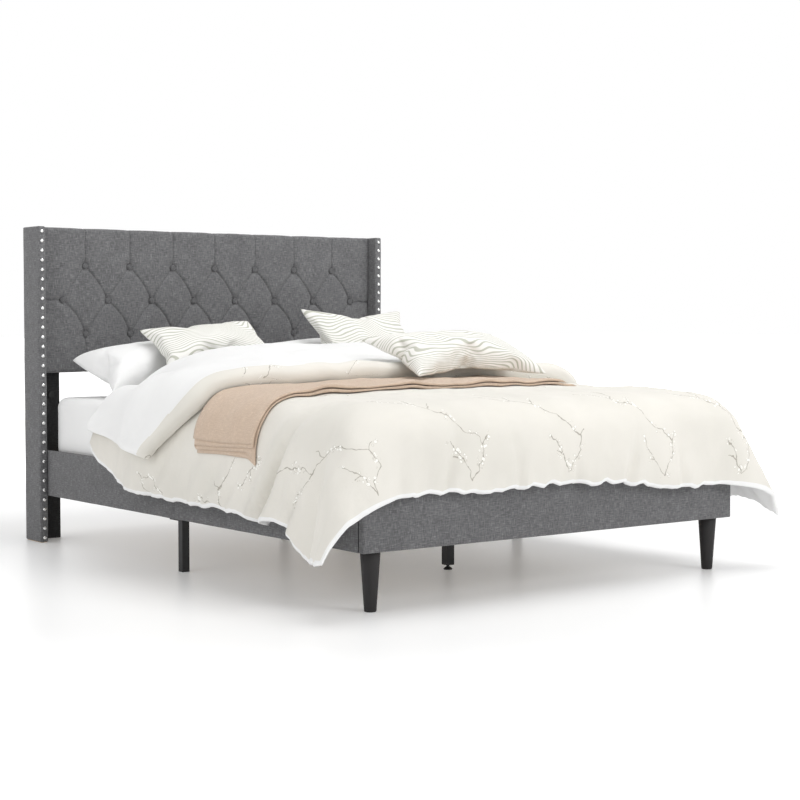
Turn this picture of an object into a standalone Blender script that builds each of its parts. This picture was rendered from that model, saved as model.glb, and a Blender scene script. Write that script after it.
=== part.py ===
"""Full-size upholstered platform bed with a wingback tufted headboard.

Metres, +Z up. The origin is on the floor under the middle of the whole object;
the headboard is at +Y and the foot at -Y. Left is -X, seen from the foot.
"""
import math

import bmesh
import bpy
from mathutils import Vector

# ---------------------------------------------------------------- dimensions
GAP = 0.0003                      # clearance between touching pieces

BED_WIDTH = 1.484                 # over the two headboard wings
HEADBOARD_HEIGHT = 1.1065
HEAD_BACK_Y = 1.0375              # back face of the headboard
WING_THICKNESS = 0.030
WING_DEPTH = 0.125
COVER = 0.0052                    # foam and fabric around a wing board

PANEL_BOTTOM = 0.5935             # lower edge of the tufted panel
PAD_FRONT_Y = 0.9580
PAD_BACK_Y = 0.9967
CORE_FRONT_Y = 1.0000             # plywood panel behind the pad
CORE_BACK_Y = 1.0117
PANEL_EDGE = 0.005                # fabric wrapped over the panel's edges
LINING = 0.002

POST_WIDTH = 0.095
POST_HEIGHT = 1.098
BOLT_Z = 0.515
BOLT_RADIUS = 0.0115

BUTTON_PITCH = 0.1785
BUTTON_ROWS = ((0.972, 7, "top"), (0.851, 8, "middle"), (0.730, 7, "bottom"))
BUTTON_RADIUS = 0.0112
BUTTON_THICK = 0.007
BUTTON_SINK = 0.005               # button face below the pad's face
WELL_RADIUS = 0.027

NAIL_COUNT = 33
NAIL_PITCH = 0.0335
NAIL_TOP = HEADBOARD_HEIGHT - 0.017
NAIL_RADIUS = 0.006
NAIL_RISE = 0.0038

RAIL_TOP = 0.322
RAIL_BOTTOM = 0.164
RAIL_COVER = 0.0027
RAIL_LIP = 0.022                  # cover turned over the rail's inner face
RAIL_CORE = 0.0190
RAIL_OUTER_X = BED_WIDTH / 2 - WING_THICKNESS - GAP
RAIL_INNER_X = RAIL_OUTER_X - RAIL_CORE - 2 * RAIL_COVER - 2 * GAP
FOOT_Y = -0.9705                  # outer face of the foot rail
FOOT_INNER_Y = FOOT_Y + (RAIL_OUTER_X - RAIL_INNER_X)
RAIL_JOINT_Y = 0.025
LEDGE_TOP = 0.282
LEDGE_WIDTH = 0.030

PLATE = 0.003                     # steel plate of every bracket
BRACKET_LEG = 0.060
BRACKET_LOW = 0.170
BRACKET_HIGH = 0.250
FOOT_FLANGE = 0.090               # the foot brackets reach this far in along the rail
JOINT_FLANGE = (0.662, 0.7085)    # x of the plate over each side leg

FRONT_LEG_X = 0.654
FRONT_LEG_Y = -0.9225
FRONT_LEG_TOP_RADIUS = 0.028
FRONT_LEG_FOOT_RADIUS = 0.017

SIDE_LEG_X = 0.684
SIDE_LEG_Y = 0.0175
SIDE_LEG_SIZE = 0.025

BEAM_WIDTH = 0.030
BEAM_HEIGHT = 0.040
BEAM_JOINT_Y = 0.030
BEAM_WALL = 0.002
CENTRE_LEG_Y = {"head": 0.4895, "foot": -0.4395}
CENTRE_LEG_SIZE = 0.028
CENTRE_LEG_FOOT = 0.015
GLIDE_STEM_RADIUS = 0.0048

SLAT_COUNT = 9
SLAT_WIDTH = 0.068
SLAT_THICK = 0.015
SLAT_FIRST_Y = -0.900
SLAT_LAST_Y = 0.955

MATTRESS_WIDTH = 1.364            # full size, 54 by 75 inches less its give
MATTRESS_FOOT_Y = -0.9310
MATTRESS_HEAD_Y = 0.9575
MATTRESS_TOP = 0.508
MATTRESS_EDGE = 0.035
MATTRESS_CORNER = 0.080           # radius of its corners in plan

# The comforter: flat in the middle, then a drape that starts at these lines.
DRAPE_X = 0.600
DRAPE_FOOT_Y = -0.8525
DUVET_EDGE_TOP = 0.558            # its top face where the drape starts
DUVET_DOME = 0.012                # extra loft in the middle
SIDE_DROP = 0.430                 # cloth past the drape line, along the side
FOOT_DROP = 0.346
CREASE_DROP = 0.235               # the same at the fold at the head
LONGER_CORNER = 0.10              # how much longer the left side is at the foot corner
LONGER_FROM_Y = -0.67             # and where that starts
DUVET_UNDER = 0.509               # its under face on the mattress
DUVET_THICK = 0.041
HEM_THICK = 0.016
BEND_LENGTH = 0.26                # cloth over which the drape turns down
HEAD_BEND_LENGTH = 0.15           # the same beside the fold, where it bends at once
HANG_ANGLE = math.radians(84)
HEAD_HANG_ANGLE = math.radians(52)
FIRST_ANGLE = math.radians(4)
FOOT_STEEPER = math.radians(5.6)  # the foot end hangs closer to plumb
CORNER_FLARE = math.radians(22)   # how much flatter the corner cones hang
CORNER_TURN = 0.15                # how much of their spread gathers at the corner itself
CREASE_Y = 0.4925                 # head end, where the comforter turns back
HEAD_HANG_Y = 0.36                # from here to the fold its side hangs flatter
FLAP_EDGE_Y = -0.180              # free edge of the turned-back part
FLAP_SWING = 0.225                # how far that edge runs back to the head at the side
FLAP_SWING_RUN = (0.12, 0.19)     # cloth past the drape line where it starts, and over which
FLAP_RISE = 0.128                 # its height over the lower layer, at the head
FLAP_THIN = 0.052                 # how much less that is at the free edge
FLAP_NOSE = 0.035                 # roundness of the free edge
FLAP_SIDE_END = 0.27              # cloth past the drape line under the turned-back part
FLAP_LEFT_REACH = 0.645           # on the left the fold slopes down to this x
FLAP_EDGE_SHARE = 0.80            # its height at the side, at the free edge
FLAP_FOLD_SHARE = 0.18            # and at the fold
PINCH_THICK = 0.018               # lower layer where the fold ends at the side
PINCH_ALONG = (0.15, 0.25)        # y where that starts, and over which length
PINCH_ACROSS = (0.48, 0.16)       # the same across the bed

THROW_HEAD_Y = -0.2225
THROW_FOOT_Y = -0.5375
THROW_THICK = 0.016
THROW_RIGHT_X = 0.456

# ---------------------------------------------------------------- set-up
for old in list(bpy.data.objects):
    bpy.data.objects.remove(old, do_unlink=True)


def new_collection(name):
    collection = bpy.data.collections.new(name)
    bpy.context.scene.collection.children.link(collection)
    return collection


PARTS = new_collection("upholstered_bed")
CUTTERS = new_collection("cutters")

COLOURS = {
    # name: (red, green, blue, roughness, metallic)
    "linen": (0.14, 0.14, 0.143, 0.92, 0.0),
    "dark_linen": (0.045, 0.045, 0.047, 0.95, 0.0),
    "button_linen": (0.12, 0.12, 0.123, 0.9, 0.0),
    "lining": (0.02, 0.02, 0.022, 0.95, 0.0),
    "plywood": (0.56, 0.41, 0.25, 0.6, 0.0),
    "pine": (0.66, 0.50, 0.31, 0.6, 0.0),
    "black_wood": (0.016, 0.013, 0.014, 0.42, 0.0),
    "black_steel": (0.02, 0.02, 0.021, 0.45, 0.6),
    "black_plastic": (0.018, 0.018, 0.018, 0.5, 0.0),
    "bright_nail": (0.78, 0.78, 0.77, 0.18, 1.0),
    "sheet_white": (0.86, 0.86, 0.85, 0.9, 0.0),
    "comforter": (0.78, 0.75, 0.70, 0.9, 0.0),
    "throw": (0.66, 0.50, 0.35, 0.92, 0.0),
    "sham": (0.74, 0.74, 0.69, 0.85, 0.0),
}


def material(name):
    found = bpy.data.materials.get(name)
    if found:
        return found
    made = bpy.data.materials.new(name)
    made.use_nodes = True
    shader = made.node_tree.nodes["Principled BSDF"]
    red, green, blue, roughness, metallic = COLOURS[name]
    shader.inputs["Base Color"].default_value = (red, green, blue, 1.0)
    shader.inputs["Roughness"].default_value = roughness
    shader.inputs["Metallic"].default_value = metallic
    return made


def adopt(obj, name, finish):
    """Name an object, move it to its collection and give it its material."""
    obj.name = name
    obj.data.name = name
    for collection in list(obj.users_collection):
        collection.objects.unlink(obj)
    (PARTS if finish else CUTTERS).objects.link(obj)
    if finish:
        obj.data.materials.clear()
        obj.data.materials.append(material(finish))
    else:
        obj.hide_render = True
        obj.display_type = "WIRE"
    return obj


def box(name, low, high, finish=None):
    """A box from its lowest corner to its highest one."""
    low, high = Vector(low), Vector(high)
    bpy.ops.mesh.primitive_cube_add(size=1.0, location=(low + high) / 2)
    obj = bpy.context.object
    obj.scale = high - low
    bpy.ops.object.transform_apply(location=False, rotation=False, scale=True)
    return adopt(obj, name, finish)


def mirrored_box(name, side, inner, outer, ys, zs, finish=None):
    """A box between two distances from the middle plane, on the given side."""
    xs = sorted((side * inner, side * outer))
    return box(name, (xs[0], ys[0], zs[0]), (xs[1], ys[1], zs[1]), finish)


def cylinder(name, radius, low, high, axis="Z", sides=12, finish=None, top_radius=None):
    """A cylinder or cone frustum between two points on an axis."""
    low, high = Vector(low), Vector(high)
    turn = {"Z": (0, 0, 0), "Y": (-math.pi / 2, 0, 0), "X": (0, math.pi / 2, 0)}[axis]
    bpy.ops.mesh.primitive_cone_add(vertices=sides, radius1=radius,
                                    radius2=radius if top_radius is None else top_radius,
                                    depth=(high - low).length, location=(low + high) / 2,
                                    rotation=turn)
    obj = bpy.context.object
    bpy.ops.object.transform_apply(location=False, rotation=True, scale=False)
    return adopt(obj, name, finish)


def boolean(obj, tool, operation):
    modifier = obj.modifiers.new(operation.lower(), "BOOLEAN")
    modifier.operation = operation
    modifier.solver = "EXACT"
    modifier.object = tool
    return obj


def cut(obj, tool):
    return boolean(obj, tool, "DIFFERENCE")


def join(obj, *tools):
    for tool in tools:
        boolean(obj, tool, "UNION")
    return obj


def bevel(obj, width, segments=2):
    modifier = obj.modifiers.new("bevel", "BEVEL")
    modifier.width = width
    modifier.segments = segments
    modifier.limit_method = "ANGLE"
    return obj


def repeat(name, template, offsets):
    """One cutter mesh that holds a copy of the template at each offset."""
    mesh = bmesh.new()
    source = template.data.copy()
    for offset in offsets:
        start = len(mesh.verts)
        mesh.from_mesh(source)
        mesh.verts.ensure_lookup_table()
        bmesh.ops.translate(mesh, verts=mesh.verts[start:],
                            vec=Vector(offset) + template.location)
    data = bpy.data.meshes.new(name)
    mesh.to_mesh(data)
    mesh.free()
    obj = bpy.data.objects.new(name, data)
    bpy.context.scene.collection.objects.link(obj)
    bpy.data.objects.remove(template, do_unlink=True)
    return adopt(obj, name, None)


def turned(name, profile, location, sides, finish):
    """A solid of revolution about Z from (radius, height) points, top to bottom."""
    mesh = bpy.data.meshes.new(name)
    points = [(radius, 0.0, height) for radius, height in profile]
    mesh.from_pydata(points, [(i, i + 1) for i in range(len(points) - 1)], [])
    obj = bpy.data.objects.new(name, mesh)
    obj.location = location
    bpy.context.scene.collection.objects.link(obj)
    screw = obj.modifiers.new("turn", "SCREW")
    screw.steps = sides
    screw.render_steps = sides
    screw.use_merge_vertices = True
    screw.merge_threshold = 0.0001
    return adopt(obj, name, finish)


def slab_from_grid(name, columns, rows, upper, lower, finish):
    """A closed solid between two surfaces, upper(u, v) and lower(u, v)."""
    mesh = bmesh.new()
    bmesh.ops.create_grid(mesh, x_segments=len(columns) - 1, y_segments=len(rows) - 1, size=1.0)
    spots = []
    for vertex in mesh.verts:
        column = round((vertex.co.x + 1) / 2 * (len(columns) - 1))
        row = round((vertex.co.y + 1) / 2 * (len(rows) - 1))
        spots.append((columns[column], rows[row]))
    base = list(mesh.verts)
    bmesh.ops.extrude_face_region(mesh, geom=list(mesh.faces), use_keep_orig=True)
    made = list(mesh.verts)[len(base):]
    twins = {vertex.co.to_tuple(5): vertex for vertex in made}
    for vertex, spot in zip(base, spots):
        twin = twins[vertex.co.to_tuple(5)]
        twin.co = upper(*spot)
        vertex.co = lower(*spot)
    bmesh.ops.recalc_face_normals(mesh, faces=mesh.faces)
    if mesh.calc_volume(signed=True) < 0:
        bmesh.ops.reverse_faces(mesh, faces=mesh.faces)
    data = bpy.data.meshes.new(name)
    mesh.to_mesh(data)
    mesh.free()
    obj = bpy.data.objects.new(name, data)
    bpy.context.scene.collection.objects.link(obj)
    return adopt(obj, name, finish)


def smoothstep(value):
    value = min(max(value, 0.0), 1.0)
    return value * value * (3 - 2 * value)


SIDES = (("left", -1), ("right", 1))
INNER_WING_X = BED_WIDTH / 2 - WING_THICKNESS
WING_CENTRE_X = BED_WIDTH / 2 - WING_THICKNESS / 2
WING_FRONT_Y = HEAD_BACK_Y - WING_DEPTH
POST_INNER_X = RAIL_OUTER_X - POST_WIDTH
POST_FRONT_Y = CORE_BACK_Y + GAP
POST_BACK_Y = HEAD_BACK_Y - 0.0005


# ---------------------------------------------------------------- headboard
def build_wing(side_name, side):
    inner, outer = INNER_WING_X, BED_WIDTH / 2
    shell = mirrored_box(f"{side_name}_wing_cover", side, inner, outer,
                         (WING_FRONT_Y, HEAD_BACK_Y), (0.002, HEADBOARD_HEIGHT), "linen")
    bevel(shell, 0.004)
    room = COVER - GAP
    cut(shell, mirrored_box(f"{side_name}_wing_room", side, inner + room, outer - room,
                            (WING_FRONT_Y + room, HEAD_BACK_Y - room),
                            (-0.01, HEADBOARD_HEIGHT - room)))
    mirrored_box(f"{side_name}_wing_board", side, inner + COVER, outer - COVER,
                 (WING_FRONT_Y + COVER, HEAD_BACK_Y - COVER),
                 (0.0, HEADBOARD_HEIGHT - COVER), "plywood")


def build_nail_trim(side_name, side):
    """Domed nail heads on the thin strip that carries them."""
    x = side * WING_CENTRE_X
    face = WING_FRONT_Y - GAP
    last = NAIL_TOP - (NAIL_COUNT - 1) * NAIL_PITCH
    strip = box(f"{side_name}_nail_trim", (x - 0.0015, face - 0.0006, last - 0.004),
                (x + 0.0015, face, NAIL_TOP + 0.004), "bright_nail")
    dome = cylinder("dome", NAIL_RADIUS, (x, face, NAIL_TOP), (x, face - NAIL_RISE, NAIL_TOP),
                    axis="Y", sides=6, top_radius=NAIL_RADIUS * 0.45)
    flip_y(dome)
    heads = repeat(f"{side_name}_nail_heads", dome,
                   [(0, 0, -NAIL_PITCH * i) for i in range(NAIL_COUNT)])
    join(strip, heads)


def flip_y(obj):
    """Turn a piece end for end along Y, in its own mesh."""
    for vertex in obj.data.vertices:
        vertex.co.y = -vertex.co.y
        vertex.co.x = -vertex.co.x


def button_places(count):
    return [(i - (count - 1) / 2) * BUTTON_PITCH for i in range(count)]


def build_panel():
    half = INNER_WING_X - GAP
    pad = box("headboard_tufted_pad", (-half, PAD_FRONT_Y, PANEL_BOTTOM),
              (half, CORE_BACK_Y, HEADBOARD_HEIGHT), "linen")
    cut(pad, box("core_room", (-half - 0.01, PAD_BACK_Y, PANEL_BOTTOM + PANEL_EDGE),
                 (half + 0.01, CORE_BACK_Y + 0.01, HEADBOARD_HEIGHT - PANEL_EDGE)))
    for height, count, row in BUTTON_ROWS:
        places = [(x, 0, 0) for x in button_places(count)]
        well = cylinder("well", WELL_RADIUS, (0, PAD_FRONT_Y - 0.004, height),
                        (0, PAD_FRONT_Y + BUTTON_SINK + BUTTON_THICK + GAP, height), axis="Y",
                        sides=8, top_radius=BUTTON_RADIUS + 0.0015)
        flip_y(well)
        cut(pad, repeat(f"{row}_wells", well, places))
        hole = cylinder("hole", 0.0026, (0, PAD_FRONT_Y, height), (0, PAD_BACK_Y + 0.001, height),
                        axis="Y", sides=6)
        cut(pad, repeat(f"{row}_holes", hole, places))
        build_button_row(height, row, places)

    edge = PANEL_EDGE + GAP
    core = box("headboard_board", (-half, CORE_FRONT_Y, PANEL_BOTTOM + edge),
               (half, CORE_BACK_Y, HEADBOARD_HEIGHT - edge), "plywood")
    batten_half = POST_INNER_X - GAP
    for low, name in ((PANEL_BOTTOM + 0.008, "lower"), (HEADBOARD_HEIGHT - 0.046, "upper")):
        join(core, box(f"{name}_batten", (-batten_half, CORE_BACK_Y - 0.002, low),
                       (batten_half, POST_BACK_Y - LINING - GAP, low + 0.038)))
    box("headboard_back_lining", (-batten_half, POST_BACK_Y - LINING, PANEL_BOTTOM),
        (batten_half, POST_BACK_Y, HEADBOARD_HEIGHT - 0.001), "lining")


def build_button_row(height, row, places):
    """A row of covered buttons, tied by stems to the twine behind the pad."""
    reach = places[-1][0] + 0.004
    twine_y = (PAD_BACK_Y + CORE_FRONT_Y) / 2
    twine = box(f"tuft_button_row_{row}", (-reach, twine_y - 0.0011, height - 0.0011),
                (reach, twine_y + 0.0011, height + 0.0011), "button_linen")
    face = PAD_FRONT_Y + BUTTON_SINK
    stem = cylinder("stem", 0.0018, (0, face + 0.002, height), (0, twine_y, height),
                    axis="Y", sides=6)
    button = cylinder("button", BUTTON_RADIUS, (0, face, height),
                      (0, face + BUTTON_THICK, height), axis="Y", sides=10,
                      top_radius=BUTTON_RADIUS * 0.72)
    join(twine, repeat(f"{row}_stems", stem, places), repeat(f"{row}_buttons", button, places))


def build_post(side_name, side):
    post = mirrored_box(f"{side_name}_headboard_post", side, POST_INNER_X, RAIL_OUTER_X,
                        (POST_FRONT_Y, POST_BACK_Y), (0.0, POST_HEIGHT), "dark_linen")
    x = side * (BED_WIDTH / 2 - 0.090)
    cut(post, cylinder(f"{side_name}_bolt_hole", 0.0044, (x, POST_FRONT_Y - 0.01, BOLT_Z),
                       (x, POST_BACK_Y + 0.01, BOLT_Z), axis="Y", sides=8))
    head = cylinder(f"{side_name}_headboard_bolt", BOLT_RADIUS,
                    (x, POST_FRONT_Y - GAP - 0.006, BOLT_Z), (x, POST_FRONT_Y - GAP, BOLT_Z),
                    axis="Y", sides=16, finish="black_plastic")
    join(head, cylinder(f"{side_name}_bolt_shank", 0.0036, (x, POST_FRONT_Y - 0.004, BOLT_Z),
                        (x, POST_BACK_Y - 0.002, BOLT_Z), axis="Y", sides=8))


# ---------------------------------------------------------------- rails
def build_side_rail(side_name, side, end, ys):
    """Half a side rail: a board with its slat ledge, in a wrapped cover."""
    name = f"{side_name}_{end}_rail"
    board_outer = RAIL_OUTER_X - RAIL_COVER - GAP
    board_inner = board_outer - RAIL_CORE
    margin = RAIL_COVER + GAP
    board = mirrored_box(f"{name}_board", side, board_inner, board_outer, ys,
                         (RAIL_BOTTOM + margin, RAIL_TOP - margin), "plywood")
    inset = BRACKET_LEG + 0.004
    ledge = (ys[0] + (inset if end == "foot" else 0.002), ys[1] - (inset if end == "head" else 0.002))
    join(board, mirrored_box(f"{name}_ledge", side, board_inner - LEDGE_WIDTH, board_inner + 0.002,
                             ledge, (LEDGE_TOP - 0.020, LEDGE_TOP)))
    cover = mirrored_box(f"{name}_cover", side, RAIL_INNER_X, RAIL_OUTER_X, ys,
                         (RAIL_BOTTOM, RAIL_TOP), "linen")
    longer = (ys[0] - 0.01, ys[1] + 0.01)
    cut(cover, mirrored_box(f"{name}_room", side, board_inner - GAP, board_outer + GAP, longer,
                            (RAIL_BOTTOM + RAIL_COVER, RAIL_TOP - RAIL_COVER)))
    cut(cover, mirrored_box(f"{name}_mouth", side, RAIL_INNER_X - 0.01, board_inner + 0.002, longer,
                            (RAIL_BOTTOM + RAIL_LIP, RAIL_TOP - RAIL_LIP)))


def build_foot_rail():
    half = RAIL_OUTER_X
    board_y = (FOOT_Y + RAIL_COVER + GAP, FOOT_Y + RAIL_COVER + GAP + RAIL_CORE)
    margin = RAIL_COVER + GAP
    board = box("foot_rail_board", (-half + margin, board_y[0], RAIL_BOTTOM + margin),
                (half - margin, board_y[1], RAIL_TOP - margin), "plywood")
    beam_low = LEDGE_TOP - BEAM_HEIGHT
    join(board, box("foot_cleat", (-0.035, board_y[1] - 0.002, beam_low - 0.030),
                    (0.035, board_y[1] + 0.030, beam_low - GAP)))
    cover = box("foot_rail_cover", (-half, FOOT_Y, RAIL_BOTTOM), (half, FOOT_INNER_Y, RAIL_TOP),
                "linen")
    cut(cover, box("foot_room", (-half + RAIL_COVER, board_y[0] - GAP, RAIL_BOTTOM + RAIL_COVER),
                   (half - RAIL_COVER, board_y[1] + GAP, RAIL_TOP - RAIL_COVER)))
    cut(cover, box("foot_mouth", (-half + RAIL_LIP, board_y[1] - 0.002, RAIL_BOTTOM + RAIL_LIP),
                   (half - RAIL_LIP, FOOT_INNER_Y + 0.01, RAIL_TOP - RAIL_LIP)))


def build_head_cross_rail():
    half = POST_INNER_X - GAP
    rail = box("head_cross_rail", (-half, POST_FRONT_Y, 0.182), (half, POST_BACK_Y, LEDGE_TOP),
               "pine")
    beam_low = LEDGE_TOP - BEAM_HEIGHT
    join(rail, box("head_cleat", (-0.035, POST_FRONT_Y - 0.028, beam_low - 0.030),
                   (0.035, POST_FRONT_Y + 0.002, beam_low - GAP)))


# ---------------------------------------------------------------- brackets and legs
def build_brackets(side_name, side):
    face = RAIL_INNER_X - GAP
    heights = (BRACKET_LOW, BRACKET_HIGH)
    head = mirrored_box(f"{side_name}_head_bracket", side, face - PLATE, face,
                        (POST_FRONT_Y - BRACKET_LEG, POST_FRONT_Y - GAP), heights, "black_steel")
    join(head, mirrored_box(f"{side_name}_head_flange", side, face - BRACKET_LEG, face - 0.001,
                            (POST_FRONT_Y - PLATE - GAP, POST_FRONT_Y - GAP), heights))

    corner_y = FOOT_INNER_Y + GAP
    base = RAIL_BOTTOM + GAP
    foot = mirrored_box(f"{side_name}_foot_bracket", side, face - PLATE, face,
                        (corner_y, corner_y + BRACKET_LEG), (base, BRACKET_HIGH), "black_steel")
    join(foot, mirrored_box(f"{side_name}_foot_flange", side, face - FOOT_FLANGE, face - 0.001,
                            (corner_y + 0.0005, corner_y + PLATE),
                            (base + 0.001, BRACKET_HIGH - 0.001)),
         mirrored_box(f"{side_name}_foot_gusset", side, face - FOOT_FLANGE + 0.001, face - 0.001,
                      (corner_y + 0.001, corner_y + BRACKET_LEG - 0.002),
                      (base + 0.0005, base + PLATE)))
    x = side * FRONT_LEG_X
    cut(foot, cylinder(f"{side_name}_stud_hole", 0.0048, (x, FRONT_LEG_Y, base - 0.01),
                       (x, FRONT_LEG_Y, base + 0.02), sides=8))

    joint = mirrored_box(f"{side_name}_rail_joint_plate", side, face - PLATE, face,
                         (SIDE_LEG_Y - 0.060, SIDE_LEG_Y + 0.075),
                         (RAIL_BOTTOM - PLATE - GAP, BRACKET_HIGH), "black_steel")
    join(joint, mirrored_box(f"{side_name}_joint_flange", side, *JOINT_FLANGE,
                             (SIDE_LEG_Y - 0.030, SIDE_LEG_Y + 0.045),
                             (RAIL_BOTTOM - PLATE - GAP, RAIL_BOTTOM - GAP)))


def build_front_leg(side_name, side):
    top = RAIL_BOTTOM - GAP
    stud = 0.004
    turned(f"{side_name}_front_leg",
           [(0.0, top + 0.022), (stud, top + 0.022), (stud, top), (FRONT_LEG_TOP_RADIUS, top),
            (FRONT_LEG_FOOT_RADIUS, 0.003), (FRONT_LEG_FOOT_RADIUS - 0.0025, 0.0), (0.0, 0.0)],
           (side * FRONT_LEG_X, FRONT_LEG_Y, 0.0), 16, "black_wood")


def build_side_leg(side_name, side):
    half = SIDE_LEG_SIZE / 2
    wall = 0.002
    top = RAIL_BOTTOM - PLATE - 2 * GAP
    leg = mirrored_box(f"{side_name}_support_leg", side, SIDE_LEG_X - half, SIDE_LEG_X + half,
                       (SIDE_LEG_Y - half, SIDE_LEG_Y + half), (0.0, top), "black_steel")
    cut(leg, mirrored_box(f"{side_name}_leg_room", side, SIDE_LEG_X - half + wall,
                          SIDE_LEG_X + half - wall,
                          (SIDE_LEG_Y - half + wall, SIDE_LEG_Y + half - wall), (0.004, top + 0.01)))


def build_beam():
    """Two tubes end to end; the foot one carries the spigot that joins them."""
    low = LEDGE_TOP - BEAM_HEIGHT
    half, wall = BEAM_WIDTH / 2, BEAM_WALL
    spans = {"foot": (FOOT_INNER_Y + 0.006, BEAM_JOINT_Y - GAP / 2),
             "head": (BEAM_JOINT_Y + GAP / 2, POST_FRONT_Y - 0.003)}
    for end, (start, stop) in spans.items():
        tube = box(f"centre_beam_{end}", (-half, start, low), (half, stop, LEDGE_TOP), "black_steel")
        cut(tube, box(f"beam_room_{end}", (-half + wall, start - 0.01, low + wall),
                      (half - wall, stop + 0.01, LEDGE_TOP - wall)))
        if end == "foot":
            tight, loose = wall - 0.0005, wall + 0.0005
            join(tube, box("spigot_root", (-half + tight, stop - 0.050, low + tight),
                           (half - tight, stop - 0.0005, LEDGE_TOP - tight)),
                 box("spigot", (-half + loose, stop - 0.010, low + loose),
                     (half - loose, stop + 0.060, LEDGE_TOP - loose)))


def build_centre_leg(end, y):
    half = CENTRE_LEG_SIZE / 2
    wall = 0.002
    top = LEDGE_TOP - BEAM_HEIGHT - GAP
    leg = box(f"centre_leg_{end}", (-half, y - half, CENTRE_LEG_FOOT), (half, y + half, top - 0.001),
              "black_steel")
    cut(leg, box(f"{end}_leg_room", (-half + wall, y - half + wall, CENTRE_LEG_FOOT + 0.012),
                 (half - wall, y + half - wall, top + 0.01)))
    join(leg, box(f"{end}_leg_plate", (-0.024, y - 0.034, top - 0.004), (0.024, y + 0.034, top)))
    cut(leg, cylinder(f"{end}_stem_hole", GLIDE_STEM_RADIUS + 0.0006, (0, y, 0.005), (0, y, 0.035)))
    turned(f"levelling_glide_{end}",
           [(0.0, 0.060), (GLIDE_STEM_RADIUS, 0.060), (GLIDE_STEM_RADIUS, 0.0100),
            (0.0125, 0.0045), (0.0140, 0.0030), (0.0140, 0.0), (0.0, 0.0)],
           (0, y, 0), 12, "black_plastic")


def build_slats():
    reach = RAIL_INNER_X - 0.0035
    step = (SLAT_LAST_Y - SLAT_FIRST_Y) / (SLAT_COUNT - 1)
    for i in range(SLAT_COUNT):
        y = SLAT_FIRST_Y + i * step
        box(f"slat_{i + 1:02d}", (-reach, y - SLAT_WIDTH / 2, LEDGE_TOP + GAP),
            (reach, y + SLAT_WIDTH / 2, LEDGE_TOP + GAP + SLAT_THICK), "pine")


# ---------------------------------------------------------------- bedding
def build_mattress():
    mattress = box("mattress", (-MATTRESS_WIDTH / 2, MATTRESS_FOOT_Y, LEDGE_TOP + 2 * GAP + SLAT_THICK),
                   (MATTRESS_WIDTH / 2, MATTRESS_HEAD_Y, MATTRESS_TOP), "sheet_white")
    mesh = bmesh.new()
    mesh.from_mesh(mattress.data)
    corners = [edge for edge in mesh.edges
               if abs(edge.verts[0].co.z - edge.verts[1].co.z) > MATTRESS_EDGE]
    bmesh.ops.bevel(mesh, geom=corners, offset=MATTRESS_CORNER, segments=4, profile=0.5,
                    affect="EDGES")
    mesh.to_mesh(mattress.data)
    mesh.free()
    bevel(mattress, MATTRESS_EDGE, 3)


def drape(run, hang, bend):
    """How far out and how far down cloth has gone, a run past the drape line."""
    steps = 24
    out = drop = 0.0
    for i in range(steps):
        slope = FIRST_ANGLE + (hang - FIRST_ANGLE) * smoothstep((i + 0.5) / steps * run / bend)
        out += math.cos(slope) * run / steps
        drop += math.sin(slope) * run / steps
    return out, drop, FIRST_ANGLE + (hang - FIRST_ANGLE) * smoothstep(run / bend)


def side_length(y, side, share=1.0):
    """Cloth past the drape line at the side: rounded at the head, longer by the left corner.

    Only the outer share of the cloth is the longer one there.
    """
    along = min(max((CREASE_Y - y) / 0.38, 0.0), 1.0)
    plain = CREASE_DROP + (SIDE_DROP - CREASE_DROP) * math.sqrt(1 - (1 - along) ** 2)
    if side > 0:
        return plain
    toward = smoothstep((LONGER_FROM_Y - y) / (LONGER_FROM_Y - DRAPE_FOOT_Y))
    beyond = min(max(1 - (DRAPE_FOOT_Y - y) / FOOT_DROP, 0.0), 1.0)
    return plain + LONGER_CORNER * toward * beyond * share ** 3


def duvet_frame(across, along):
    """A point of the comforter's plain upper face, its normal and how it runs.

    across runs from -1 to 1 over the cloth, with 0.5 at the drape line;
    along is y on the flat part, and goes past the drape line at the foot.
    """
    side = -1 if across < 0 else 1
    spread = abs(across)
    flat_x = min(spread / 0.5, 1.0) * DRAPE_X
    share = max(spread / 0.5 - 1.0, 0.0)
    run_x = share * side_length(along, side, share)
    run_y = max(DRAPE_FOOT_Y - along, 0.0)
    flat_y = max(along, DRAPE_FOOT_Y)
    run = math.hypot(run_x, run_y)
    turn = math.atan2(run_y, run_x) if run else 0.0
    hang = (HANG_ANGLE + FOOT_STEEPER * math.sin(turn) ** 2
            - CORNER_FLARE * math.sin(2 * turn) ** 2)
    at_fold = smoothstep((along - HEAD_HANG_Y) / (CREASE_Y - HEAD_HANG_Y))
    hang += (HEAD_HANG_ANGLE - HANG_ANGLE) * at_fold
    bend = BEND_LENGTH + (HEAD_BEND_LENGTH - BEND_LENGTH) * at_fold
    out, drop, slope = drape(run, hang, bend)
    turn -= CORNER_TURN * math.sin(2 * turn)
    plan = Vector((side * math.cos(turn), -math.sin(turn), 0.0))
    dome = DUVET_DOME * (1 - (flat_x / DRAPE_X) ** 2) * smoothstep((flat_y - DRAPE_FOOT_Y) / 0.25)
    point = Vector((side * flat_x, flat_y, DUVET_EDGE_TOP + dome - drop)) + plan * out
    if run:
        normal = plan * math.sin(slope) + Vector((0, 0, math.cos(slope)))
    else:
        normal = Vector((0, 0, 1))
    return point, normal, run, side * flat_x, run_x


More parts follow.
